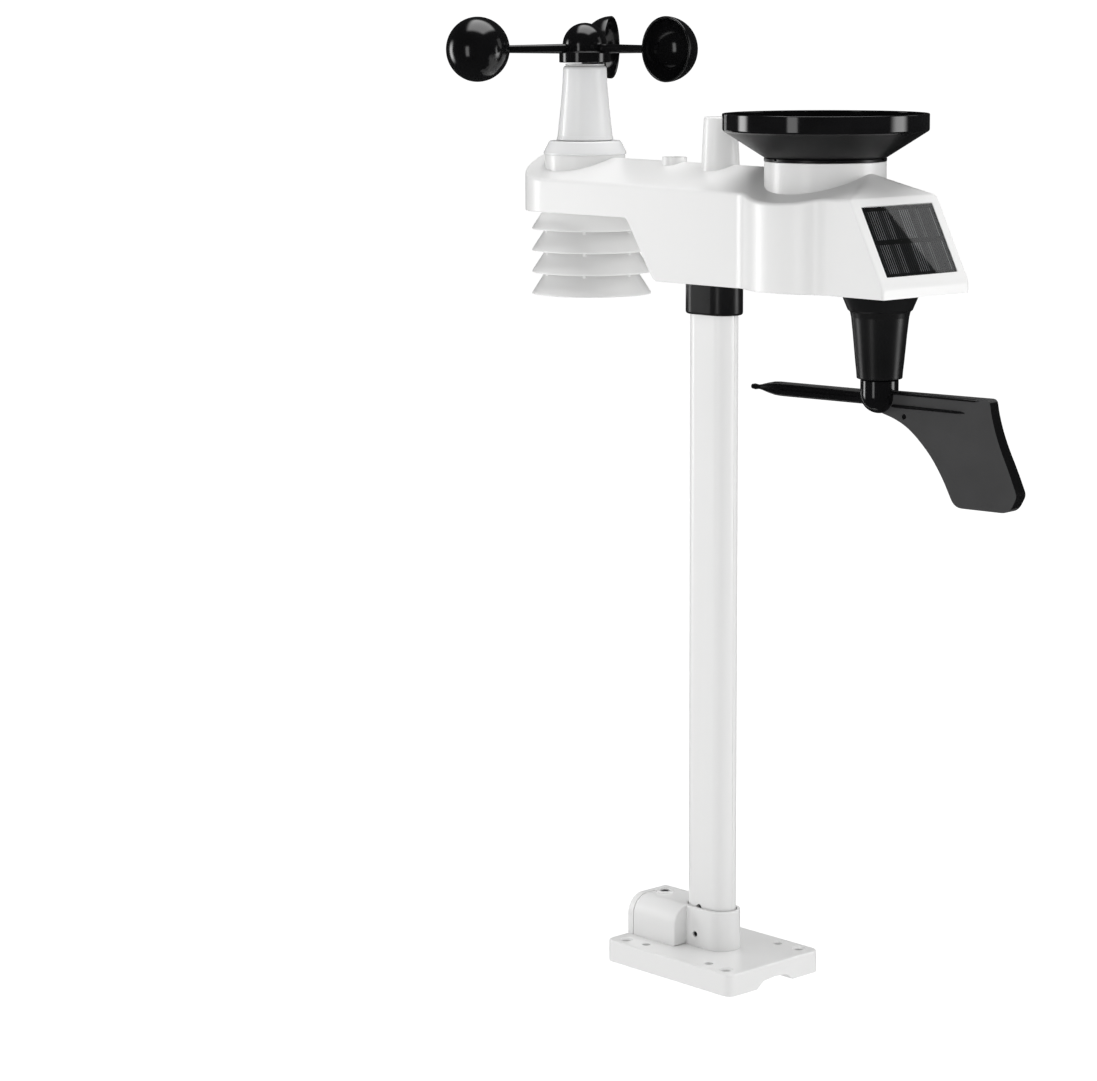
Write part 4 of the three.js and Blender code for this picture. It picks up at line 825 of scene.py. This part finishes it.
# ---------------------------------------------------------------- rain gauge
def rain_gauge():
    funnel = lathe("funnel_body", rounded([
        (2.4, 459), (4, 459), (4, 465.6), (28.8, 468.6, 0), (28.8, 462), (30.5, 462), (30.5, 471.6, 0),
        (33.3, 471.6), (55.8, 486), (56.2, 486.8), (56.2, 495.4), (54.4, 495.4), (54.4, 487.8), (32.2, 473),
        (8.5, 468), (2.4, 467.2),
    ], 0.55), RAIN_X, facets=160)
    place(funnel, "funnel", FUNNEL, "satin_black", "rain_funnel")
    ring_profile = [(31.1, 469.65), (33.4, 469.65), (33.4, 471.3), (31.1, 471.3)]
    ring = lathe("lock_ring_body", rounded(ring_profile, 0.3), facets=128)
    for i in range(6):
        notch = box_tool("notch", (32.5, -1.6, 470.3), (36, 1.6, 472))
        cut(ring, turned(notch, i * 60 + 20))
    place(shifted(ring, RAIN_X), "lock_ring", SATIN, "satin_black", "funnel_lock_ring")
    screen = lathe("screen_cap", rounded([
        (0, 475.2), (7.2, 475.2), (7.2, 468.6), (8, 468.6), (8, 476), (6.6, 477), (0, 477),
    ], 0.3, closed=False), facets=64)
    for i in range(6):
        slot_tool = box_tool("slot", (1.6, -0.5, 474), (6.3, 0.5, 478))
        cut(screen, turned(slot_tool, i * 60))
    place(shifted(screen, RAIN_X), "screen", SATIN, "satin_black", "debris_screen")


# ---------------------------------------------------------------- wind vane
def on_vane(obj):
    """From the vane's own frame (tail along +X) to its place under the housing."""
    return shifted(turned(obj, VANE_HEADING), VANE_X)


def vane():
    stem = lathe("vane_stem_body", rounded([
        (5, 354.1), (12.3, 354.1), (12.6, 358), (13.2, 363.3), (14.6, 378.3), (15.6, 387.3), (16.3, 390.3),
        (17.5, 391.3), (18.2, 393), (21.2, 400.1), (7.8, 400.1), (7.8, 359.3), (5, 359.3),
    ], 0.7), VANE_X)
    place(stem, "station", SATIN, "satin_black", "vane_stem")
    bowl = arc(0, HUB_CENTRE_Z, HUB_RADIUS, -90, 0, 20)[1:]
    hub = lathe("vane_ball", [(0, HUB_CENTRE_Z - HUB_RADIUS), *bowl] + rounded([
        (10.3, 346.5), (10.3, 353.5), (2.1, 353.5), (2.1, HUB_CENTRE_Z), (0, HUB_CENTRE_Z),
    ], 0.6, closed=False)[1:], VANE_X)
    place(hub, "vane", GLOSS, "gloss_black", "vane_hub")
    place(on_vane(nose()), "vane", GLOSS, "gloss_black", "vane_nose", angle=38)
    tail = on_vane(fin())
    place(tail, "vane", FIN, "fin_grey", "vane_fin", angle=30)
    gloss_trailing_edge(tail)
    # The black disc in the fin's eye is painted shade for the hole.
    place(on_vane(fin_eye()), "vane", GLOSS, "gloss_black")
    for i, (z, end) in enumerate(((FIN_TOP - 1.1, 66), (FIN_TOP - 8.1, 57))):
        rail = rail_bar(f"vane_rail_{i + 1}", z, end)
        place(on_vane(rail), "vane", GLOSS, "gloss_black")


def nose():
    bar = bar_along_x("nose_bar", [
        (-86.4, 0.5, 0.4), (-85.8, 1.3, 1.0), (-83.5, 1.7, 1.2), (-81, 1.25, 1.0), (-79, 1.6, 1.2),
        (-75, 2.7, 1.9), (-70, 3.75, 2.5), (-66, 4.05, 2.9), (-8, 4.05, 2.9),
    ], points=36, power=1.75)
    groove = rounded([(-64, -0.45), (-13, -0.45), (-13, 0.45), (-64, 0.45)], 0.4)
    for side in (-1, 1):
        tool = sideways(slab("groove", groove, 2.35 if side < 0 else -3.4, 3.4 if side < 0 else -2.35))
        cut(bar, tool)
    cut(bar, rod_tool("hub_room", 10.32, -20, 20, facets=96))
    return shifted(bar, 0, 0, NOSE_Z)


def fin():
    """Blade in side view, wedge-shaped in plan: thin at the hub, thick at the trailing edge."""
    side = rounded([
        (3, -12.7, 0), (10.5, -14.7, 0), (18, -18, 0), (24, -22.2, 0), (30, -27.6, 0), (36, -34, 0),
        (43, -44, 0), (51, -59.2, 8), (86, -58.8, 8), (90.8, -49.4, 5), (85.5, -36.9, 0), (80.2, -26, 0),
        (76.4, -16.4, 0), (73.9, -7.4, 0), (72.6, 0, 3), (3, 0, 0),
    ], 0)
    smooth = round_polyline(side)
    blade = sideways(slab("fin_blade", smooth, -8, 8))
    plan = [(0, -1.2), (92, -4.6), (92, 4.6), (0, 1.2)]
    combine(blade, [slab("wedge", plan, -80, 20)], "INTERSECT")
    ball = arc(0, HUB_CENTRE_Z - FIN_TOP, HUB_RADIUS + 0.02, -90, 0, 20)
    cut(blade, lathe("hub_room", [(0, ball[0][1]), *ball[1:], (ball[-1][0], 20), (0, 20)]))
    cut(blade, cross_rod("eye", 1.5, -10, -0.5, 17.3, -13.4))
    bevel = blade.modifiers.new("edge", "BEVEL")
    bevel.width = 0.5 * MM
    bevel.segments = 3
    bevel.limit_method = "ANGLE"
    bevel.angle_limit = math.radians(50)
    return shifted(bake(blade), 0, 0, FIN_TOP)


def fin_eye():
    """Black disc in the bottom of the blade's blind eye: painted shade that darkens the hole."""
    return shifted(cross_rod("fin_eye_shade_disc", 1.42, -1.35, -0.55, 17.3, -13.4), 0, 0, FIN_TOP)


def round_polyline(points, passes=2):
    """Corner-cutting that turns the fin's bends into smooth curves but keeps its true corners."""
    for _ in range(passes):
        result = []
        for i, point in enumerate(points):
            here = Vector(point)
            back = Vector(points[i - 1]) - here
            ahead = Vector(points[(i + 1) % len(points)]) - here
            angle = math.degrees(back.angle(ahead)) if back.length > 1e-6 and ahead.length > 1e-6 else 180
            if angle < 150 or angle > 179.5:
                result.append(tuple(here))
                continue
            reach = min(back.length, ahead.length) * 0.25
            result.append(tuple(here + back.normalized() * reach))
            result.append(tuple(here + ahead.normalized() * reach))
        points = result
    return points


def gloss_trailing_edge(blade):
    """The thick trailing edge is polished black."""
    blade.data.materials.append(GLOSS)
    heading = Vector((math.cos(math.radians(VANE_HEADING)), math.sin(math.radians(VANE_HEADING)), 0))
    for polygon in blade.data.polygons:
        past_hub = polygon.center.dot(heading) > (VANE_X + 62) * MM
        if past_hub and polygon.normal.dot(heading) > 0.72:
            polygon.material_index = 1


def rail_bar(name, z, end):
    """Rounded rail that stands proud on both faces of the blade."""
    start = 8.8
    rail = bar_along_x(name, [
        (start, 1.05, 2.9), (end - 9, 1.05, 2.9 + 0.031 * (end - 9)), (end - 3, 0.9, 2.8 + 0.031 * end),
        (end, 0.45, 1.8 + 0.027 * end),
    ], points=28, power=2.4)
    cut(rail, rod_tool("hub_room", 10.34, -20, 20, facets=96))
    return shifted(rail, 0, 0, z)


# ---------------------------------------------------------------- radiation shield
def louvre_skirt(lip, height):
    """Section of a louvre: tapering skirt, rounded lip, and a flange at its top."""
    top = lip + height
    outer = LOUVRE_LIP_RADIUS - height * LOUVRE_TAPER
    inner_lip = LOUVRE_LIP_RADIUS - LOUVRE_WALL
    inner = inner_lip - (height - LOUVRE_WALL) * LOUVRE_TAPER
    return rounded([
        (20.5, top - LOUVRE_WALL), (inner, top - LOUVRE_WALL), (inner_lip, lip),
        (LOUVRE_LIP_RADIUS - 0.1, lip), (LOUVRE_LIP_RADIUS - 0.6, lip + 1.2), (outer, top), (20.5, top),
    ], 0.45)


def peg_room(index):
    """The space a louvre's pegs may fill: up to the housing, or up inside the louvre above."""
    if index == 0:
        return rod_tool("peg_room", LOUVRE_LIP_RADIUS, 400, THIN_BOTTOM - 0.05, facets=96)
    lip, height = LOUVRE_LIPS[index - 1], LOUVRE_HEIGHTS[index - 1]
    wide = LOUVRE_LIP_RADIUS - LOUVRE_WALL - 0.05
    under = height - LOUVRE_WALL - 0.05
    return lathe("peg_room", [
        (0, lip - 12), (wide, lip - 12), (wide, lip),
        (wide - under * LOUVRE_TAPER, lip + under), (0, lip + under),
    ], facets=96)


def radiation_shield():
    for i, (lip, height) in enumerate(zip(LOUVRE_LIPS, LOUVRE_HEIGHTS)):
        top = lip + height
        cone = lathe(f"louvre_skirt_{i + 1}", louvre_skirt(lip, height), facets=128)
        wall_middle = LOUVRE_LIP_RADIUS - LOUVRE_WALL / 2
        foot = lip + (wall_middle - 27.5) / LOUVRE_TAPER
        pegs = []
        for k in range(6):
            peg = rod_tool("peg", 1.2, min(foot, top - 0.5), top + 20, 27.5, 0, 20)
            pegs.append(combine(turned(peg, k * 60 + 8), [peg_room(i)], "INTERSECT"))
        join(cone, *pegs)
        for angle in (90, 270):
            cut(cone, turned(rod_tool("rod_hole", 1.8, top - 3, top + 1, 23, 0, 24), angle))
        place(shifted(cone, SHIELD_X), "station", WHITE, "white_plastic", f"louvre_{i + 1}")
    floor = rounded([(0, 387.6), (29, 387.6), (29, 389.4), (0, 389.4)], 0.5, closed=False)
    base = lathe("shield_floor", floor, facets=96)
    for angle in (90, 270):
        cut(base, turned(rod_tool("rod_hole", 1.8, 380, 392, 23, 0, 24), angle))
    place(shifted(base, SHIELD_X), "station", WHITE, "white_plastic", "shield_base")


# ---------------------------------------------------------------- pole, collar and base
def pole():
    tube = slab("pole_tube", oval(POLE_RADIUS), 17.3, POLE_TOP, 0.3, 0.3, 2)
    tools = [
        slab("bore", oval(POLE_RADIUS - 1.8), 10, 400),
        cross_rod("pin_hole", 2.0, -40, 0, *PIN_HOLE),
        cross_rod("lock_hole", 1.7, -40, 0, *LOCK_HOLE),
        cross_rod("collar_hole", 1.8, 0, 40, 0, COLLAR_SCREW_Z),
    ]
    edge = POLE_FLAT / 2 + POLE_RADIUS
    for side in (-1, 1):
        low, high = sorted((side * (edge - 0.22), side * (edge + 1)))
        tools.append(box_tool("mould_line", (low, -0.4, 0), (high, 0.4, 400)))
    cut(tube, *tools)
    place(tube, "station", WHITE, "white_plastic", "pole")


def mast_collar():
    skirt = slab("mast_collar_body", oval(11.15), COLLAR_BOTTOM, COLLAR_SHOULDER, 1.5, 0.5)
    neck = slab("neck", oval(7, 6), COLLAR_SHOULDER - 0.5, COLLAR_SHOULDER + 13.7, 0, 0.6)
    join(skirt, neck)
    bore = slab("bore", oval(POLE_RADIUS + 0.3), COLLAR_BOTTOM - 10, POLE_TOP + 0.3)
    cut(skirt, bore, cross_rod("screw_hole", 1.8, 0, 40, 0, COLLAR_SCREW_Z))
    place(skirt, "station", SATIN, "satin_black", "mast_collar")


def base_plate():
    corners = [(50.3, -37.5), (50.3, 37.5), (-50.3, 37.5), (-50.3, -37.5)]
    plate = slab("base_plate_body", rounded(corners, 6, steps=10), 0, 13, 0.5, 1.0)
    saddle = lengthways(slab("saddle", rounded([
        (-15, -4, 0), (15, -4, 0), (15, 0, 0), (9.5, 4.1, 3), (0, 4.9, 8), (-9.5, 4.1, 3), (-15, 0, 0),
    ], 0), -60, 60))
    tools = [saddle]
    for x, y, radius, sink in ((40.5, 30, 2.9, 1.1), (25.5, 28.5, 2.45, 0.25)):
        wide = radius + sink
        hole = [(0, -1), (radius, -1), (radius, 13 - sink), (wide, 13.01), (wide, 14), (0, 14)]
        for side_x in (-1, 1):
            for side_y in (-1, 1):
                tools.append(lathe("hole", hole, side_x * x, side_y * y, 40))
    for x, y, seat in ((-30, -17.2, 3), (-30, 17.2, 3), (4, 0, 8)):
        well = [(0, -1), (2.6, -1), (2.6, seat), (1.5, seat), (1.5, 14), (0, 14)]
        tools.append(lathe("screw_well", well, x, y, 32))
    cut(plate, *tools)
    place(plate, "station", WHITE, "white_plastic", "base_plate")


def arch(half_width, half_height, foot):
    """Section of the lying socket: straight sides, round shoulders and a flat crown."""
    flat = half_width - half_height
    return (
        [(-half_width, foot), (half_width, foot)]
        + arc(flat, BARREL_CENTRE_Z, half_height, 0, 90, 14)
        + arc(-flat, BARREL_CENTRE_Z, half_height, 90, 180, 14)
    )


def socket_bracket():
    foot = PLATE_TOP + 0.05
    half = SOCKET_TOP - BARREL_CENTRE_Z
    groove_x = BARREL_START + 4.6
    boss_top = SOCKET_TOP + 0.9
    column = slab("socket_bracket_body", oval(SOCKET_RADIUS), foot, SOCKET_TOP, 0, 0.7)
    barrel = lengthways(slab("barrel", arch(BARREL_HALF_WIDTH, half, foot), BARREL_START, -11, 0.9, 0.9))
    boss_profile = rounded([(0, 33), (5.2, 33), (5.2, boss_top), (0, boss_top)], 0.6, closed=False)
    join(column, barrel, lathe("boss", boss_profile, WALL_SCREW_X, facets=64))
    around = arch(BARREL_HALF_WIDTH + 1, half + 1, foot - 1)
    groove = lengthways(slab("groove", around, groove_x, groove_x + 0.7))
    core = slab("core", arch(BARREL_HALF_WIDTH - 1, half - 1, foot - 2), groove_x - 1, groove_x + 2)
    cut(groove, lengthways(core))
    bore = POLE_RADIUS + 0.3
    ends = [(POLE_FLAT / 2, -90, 90), (-POLE_FLAT / 2, 90, 270)]
    wall_bore = [point for y, a, b in ends for point in arc(y, BARREL_CENTRE_Z, bore, a, b, 24)]
    screw_well = [(0, 24), (1.6, 24), (1.6, boss_top - 1.7), (3, boss_top - 1.7), (3, 40), (0, 40)]
    tools = [
        groove,
        slab("bore", oval(bore), 17, 40),
        slab("rim_relief", oval(bore + 0.55), SOCKET_TOP - 3, 40),
        lengthways(slab("wall_bore", wall_bore, -60, -20)),
        lathe("screw_well", screw_well, WALL_SCREW_X, 0, 40),
        cross_rod("lock_hole", 1.7, -40, -8.5, *LOCK_HOLE),
    ]
    for x, y in ((-30, -17.2), (-30, 17.2), (4, 0)):
        tools.append(rod_tool("pilot", 1.35, 10, 16.5, x, y))
    cut(column, *tools)
    place(column, "station", WHITE, "white_plastic", "socket_bracket")


# ---------------------------------------------------------------- screws and small parts
def detailed_screw(name, node, body, head, height, shank, length, direction, material, slot):
    """Pan-head screw with a cross recess; direction is the way its head points."""
    profile = rounded([
        (0, -length), (shank * 0.5, -length), (shank, -length + shank), (shank, 0, 0), (head, 0, 0),
        (head, height * 0.5), (head * 0.72, height), (0, height),
    ], 0.25, closed=False)
    screw = lathe(name, profile, facets=40)
    reach = head * 0.55
    for angle in (0, 90):
        blade = box_tool("blade", (-reach, -head * 0.11, height * 0.35), (reach, head * 0.11, height + 1))
        cut(screw, turned(blade, angle))
    low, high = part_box(node)
    middle = (Vector(low) + Vector(high)) / 2
    axis = Vector(direction)
    transform(screw, axis.to_track_quat("Z", "Y").to_matrix().to_4x4())
    reach_along = (Vector(high) - Vector(low)).dot(Vector([abs(c) for c in axis])) / 2
    seat = middle + axis * (reach_along - height * MM)
    transform(screw, Matrix.Translation(seat))
    place(screw, body, material, slot, node)


def fasteners():
    up = (0, 0, 1)
    down = (0, 0, -1)
    for i in (1, 2, 3):
        node = f"bracket_screw_{i}"
        length = (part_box(node)[1][2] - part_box(node)[0][2]) / MM - 1.6
        detailed_screw(f"bracket_bolt_{i}", node, "station", 2.3, 1.6, 1.1, length, down, STEEL, "steel")
    for i in (1, 2, 3, 4):
        node = f"cover_screw_{i}"
        detailed_screw(f"cover_bolt_{i}", node, "station", 2.6, 1.2, 1.1, 9, down, STEEL, "steel")
    detailed_screw("door_bolt", "battery_door_screw", "door", 2.4, 1, 1, 1.6, down, STEEL, "steel")
    detailed_screw("wall_bolt", "wall_socket_screw", "station", 2.6, 1.4, 1.2, 1.2, up, STEEL, "steel")
    detailed_screw("collar_bolt", "upper_pole_screw", "station", 3, 1.9, 1.4, 5.4, (0, 1, 0), STEEL, "steel")
    for i in (1, 2):
        node = f"shield_rod_{i}"
        detailed_screw(f"shield_bolt_{i}", node, "station", 3, 2, 1.5, 46.9, down, STEEL, "steel")


def bubble_level():
    vial = lathe("level_window", rounded([
        (0, 465.6), (5.75, 465.6), (5.75, 467.0), (4.35, 467.8), (0, 467.8),
    ], 0.4, closed=False), LEVEL_X, facets=64)
    place(vial, "station", CLEAR, "clear_cover", "level_vial")
    disc = rounded([(0, 464.8), (5.7, 464.8), (5.7, 465.5), (0, 465.5)], 0.2, closed=False)
    liquid = lathe("level_liquid_disc", disc, LEVEL_X, facets=64)
    place(liquid, "station", LIQUID, "clear_cover")
    mark = [(2.3, 465.5), (2.7, 465.5), (2.7, 465.58), (2.3, 465.58)]
    ring = lathe("level_mark", mark, LEVEL_X, facets=48)
    place(ring, "station", SATIN, "satin_black")


def dress_cad_nodes():
    """CAD nodes that keep their shape get softened edges and their own materials."""
    looks = {
        WHITE: ["bottom_cover", "battery_door"],
        SMOKE: ["rain_well"],
        SATIN: ["tipping_bucket", "reset_button"],
        STEEL: ["rotor_bearing_lower", "rotor_bearing_upper", "rotor_shaft", "bucket_axle",
                "vane_bearing_lower", "vane_bearing_upper", "vane_shaft"],
        DARK_STEEL: ["lower_pole_screw"],
        MAGNET: ["rotor_magnet", "vane_magnet", "radio_antenna"],
        BOARD: ["main_board", "humidity_sensor"],
        BATTERY: ["battery_1", "battery_2"],
    }
    for material, names in looks.items():
        for name in names:
            obj = nodes[name]
            obj.data.materials.clear()
            obj.data.materials.append(material)
            bevel = obj.modifiers.new("edge", "BEVEL")
            bevel.width = 0.25 * MM
            bevel.segments = 2
            bevel.limit_method = "ANGLE"
            bevel.angle_limit = math.radians(40)


# ---------------------------------------------------------------- studio
def stage():
    """Pale floor that lights the object from below but stays out of its glossy reflections."""
    n = Nodes("studio_floor")
    pale = n.blend(n.spread(n.noise(3, 2), 0, 1), (0.2, 0.2, 0.2), (0.21, 0.21, 0.21))
    n.link(pale, n.shader.inputs["Base Color"])
    n.link(n.spread(n.noise(40, 3), 0.85, 0.95), n.shader.inputs["Roughness"])
    n.shader.inputs["Specular IOR Level"].default_value = 0.0
    n.shader.inputs["Emission Color"].default_value = (1, 1, 1, 1)
    n.shader.inputs["Emission Strength"].default_value = 0.95
    bm = bmesh.new()
    bmesh.ops.create_grid(bm, x_segments=8, y_segments=8, size=12000)
    floor = new_object("floor", bm)
    transform(floor, Matrix.Translation((0, 0, -0.0005)))
    floor.data.materials.append(n.material)
    floor.visible_glossy = False


def world():
    """White backdrop, soft grey fill light, and a dark room in glossy reflections."""
    scene_world = bpy.data.worlds.new("studio_world")
    bpy.context.scene.world = scene_world
    scene_world.use_nodes = True
    tree = scene_world.node_tree
    path = tree.nodes.new("ShaderNodeLightPath")
    fill = tree.nodes["Background"]
    fill.inputs["Strength"].default_value = AMBIENT
    glossy = tree.nodes.new("ShaderNodeBackground")
    glossy.inputs["Strength"].default_value = ROOM_REFLECTION
    backdrop = tree.nodes.new("ShaderNodeBackground")
    backdrop.inputs["Strength"].default_value = 1.05
    tree.links.new(dimmed_towards_camera(tree), fill.inputs["Color"])
    for shader in (glossy, backdrop):
        shader.inputs["Color"].default_value = (1, 1, 1, 1)
    first = tree.nodes.new("ShaderNodeMixShader")
    second = tree.nodes.new("ShaderNodeMixShader")
    tree.links.new(path.outputs["Is Glossy Ray"], first.inputs[0])
    tree.links.new(fill.outputs[0], first.inputs[1])
    tree.links.new(glossy.outputs[0], first.inputs[2])
    tree.links.new(path.outputs["Is Camera Ray"], second.inputs[0])
    tree.links.new(first.outputs[0], second.inputs[1])
    tree.links.new(backdrop.outputs[0], second.inputs[2])
    tree.links.new(second.outputs[0], tree.nodes["World Output"].inputs["Surface"])


def dimmed_towards_camera(tree):
    """Fill light that is weaker on the side the picture is taken from."""
    bearing = math.radians(CAMERA_SIDE)
    direction = tree.nodes.new("ShaderNodeTexCoord").outputs["Generated"]
    facing = tree.nodes.new("ShaderNodeVectorMath")
    facing.operation = "DOT_PRODUCT"
    facing.inputs[1].default_value = (math.cos(bearing), math.sin(bearing), 0.0)
    tree.links.new(direction, facing.inputs[0])
    ramp = tree.nodes.new("ShaderNodeMapRange")
    ramp.interpolation_type = "SMOOTHSTEP"
    ramp.inputs["From Min"].default_value = 0.0
    ramp.inputs["From Max"].default_value = 1.0
    ramp.inputs["To Min"].default_value = 1.0
    ramp.inputs["To Max"].default_value = CAMERA_SIDE_DIM
    tree.links.new(facing.outputs["Value"], ramp.inputs["Value"])
    return ramp.outputs["Result"]


def softbox(name, turn, tilt, distance, width, height, radiance, soft=0.38, aim=(0.0, 0.0, 0.45)):
    """Large light with soft edges; turn is degrees to the right of the camera, tilt is upwards."""
    data = bpy.data.lights.new(name, "AREA")
    data.shape = "RECTANGLE"
    data.size = width
    data.size_y = height
    data.energy = radiance * math.pi * width * height
    data.use_nodes = True
    tree = data.node_tree
    emission = tree.nodes["Emission"]
    spot = tree.nodes.new("ShaderNodeNewGeometry").outputs["Parametric"]
    split = tree.nodes.new("ShaderNodeSeparateXYZ")
    tree.links.new(spot, split.inputs[0])
    edges = []
    for axis in (0, 1):
        ramp = tree.nodes.new("ShaderNodeMapRange")
        ramp.interpolation_type = "SMOOTHSTEP"
        ramp.inputs["From Min"].default_value = 0.0
        ramp.inputs["From Max"].default_value = soft
        away = tree.nodes.new("ShaderNodeMath")
        away.operation = "PINGPONG"
        away.inputs[1].default_value = 0.5
        tree.links.new(split.outputs[axis], away.inputs[0])
        tree.links.new(away.outputs[0], ramp.inputs["Value"])
        edges.append(ramp.outputs["Result"])
    product = tree.nodes.new("ShaderNodeMath")
    product.operation = "MULTIPLY"
    tree.links.new(edges[0], product.inputs[0])
    tree.links.new(edges[1], product.inputs[1])
    tree.links.new(product.outputs[0], emission.inputs["Strength"])
    light = bpy.data.objects.new(name, data)
    bpy.context.scene.collection.objects.link(light)
    bearing = math.radians(CAMERA_SIDE + turn)
    rise = math.radians(tilt)
    away = Vector((math.cos(bearing) * math.cos(rise), math.sin(bearing) * math.cos(rise), math.sin(rise)))
    light.location = Vector(aim) + away * distance
    light.rotation_euler = away.to_track_quat("Z", "Y").to_euler()
    return light


def lights():
    softbox("left_softbox", -104, -3, 1.6, 0.6, 1.5, 6.8)
    softbox("right_softbox", 84, -6, 1.6, 0.8, 1.3, 5.0)
    softbox("left_strip", -36, -4, 2.0, 0.5, 1.4, 2.9, 0.2)
    softbox("top_softbox", 160, 84, 1.35, 1.7, 1.7, 3.9, 0.2)
    fills = [
        softbox("right_fill", 58, 22, 1.7, 0.9, 0.9, 2.6),
        softbox("front_fill", -8, 2, 2.0, 1.1, 1.1, 2.4, 0.3, (0.0, 0.0, 0.2)),
    ]
    for fill in fills:
        fill.visible_glossy = False
    panel_card()


def panel_card():
    """Dim card whose straight edge shows in the panel's cover as a slanting line."""
    place_on_panel = panel_matrix()
    eye = place_on_panel.inverted() @ Vector(CAMERA_PLACE)
    mirrored = Vector((eye.x, eye.y, -eye.z))
    half_w, half_h = PANEL_SIZE[0] * MM / 2, PANEL_SIZE[1] * MM / 2
    ends = []
    for down, across in ((-half_h, CARD_EDGE[0] * half_w), (half_h, CARD_EDGE[1] * half_w)):
        spot = Vector((down, across, 0))
        ends.append(spot + (spot - mirrored).normalized() * CARD_REACH)
    middle = (ends[0] + ends[1]) / 2
    along = (ends[1] - ends[0]).normalized()
    outward = (middle - mirrored).normalized()
    sidewards = outward.cross(along).normalized()
    if sidewards.y < 0:
        sidewards = -sidewards
    centre = middle + sidewards * CARD_WIDTH / 2
    data = bpy.data.lights.new("panel_card", "AREA")
    data.shape = "RECTANGLE"
    data.size = CARD_WIDTH
    data.size_y = CARD_HEIGHT
    data.energy = CARD_RADIANCE * math.pi * CARD_WIDTH * CARD_HEIGHT
    light = bpy.data.objects.new("panel_card", data)
    bpy.context.scene.collection.objects.link(light)
    facing = sidewards.cross(along)
    if facing.dot(outward) < 0:
        sidewards = -sidewards
        facing = -facing
    axes = Matrix((sidewards, along, facing)).transposed().to_4x4()
    light.matrix_world = place_on_panel @ Matrix.Translation(centre) @ axes


def camera():
    """Seen from the front right, slightly above, with a long lens."""
    data = bpy.data.cameras.new("camera")
    data.sensor_width = 36
    data.lens = CAMERA_LENS
    data.shift_y = CAMERA_SHIFT_Y
    data.clip_end = 50
    cam = bpy.data.objects.new("camera", data)
    bpy.context.scene.collection.objects.link(cam)
    yaw, pitch, roll = (math.radians(a) for a in (CAMERA_YAW, CAMERA_PITCH, CAMERA_ROLL))
    forward = Vector((-math.sin(yaw) * math.cos(pitch), math.cos(yaw) * math.cos(pitch), -math.sin(pitch)))
    level = Vector((math.cos(yaw), math.sin(yaw), 0))
    upright = level.cross(forward)
    right = level * math.cos(roll) + upright * math.sin(roll)
    up = upright * math.cos(roll) - level * math.sin(roll)
    cam.matrix_world = Matrix.Translation(CAMERA_PLACE) @ Matrix((right, up, -forward)).transposed().to_4x4()
    bpy.context.scene.camera = cam


bpy.context.scene.view_settings.view_transform = "Standard"
camera()
world()
lights()
stage()
housing()
solar_panel()
cup_tower()
rotor()
rain_gauge()
vane()
radiation_shield()
pole()
mast_collar()
base_plate()
socket_bracket()
fasteners()
bubble_level()
dress_cad_nodes()
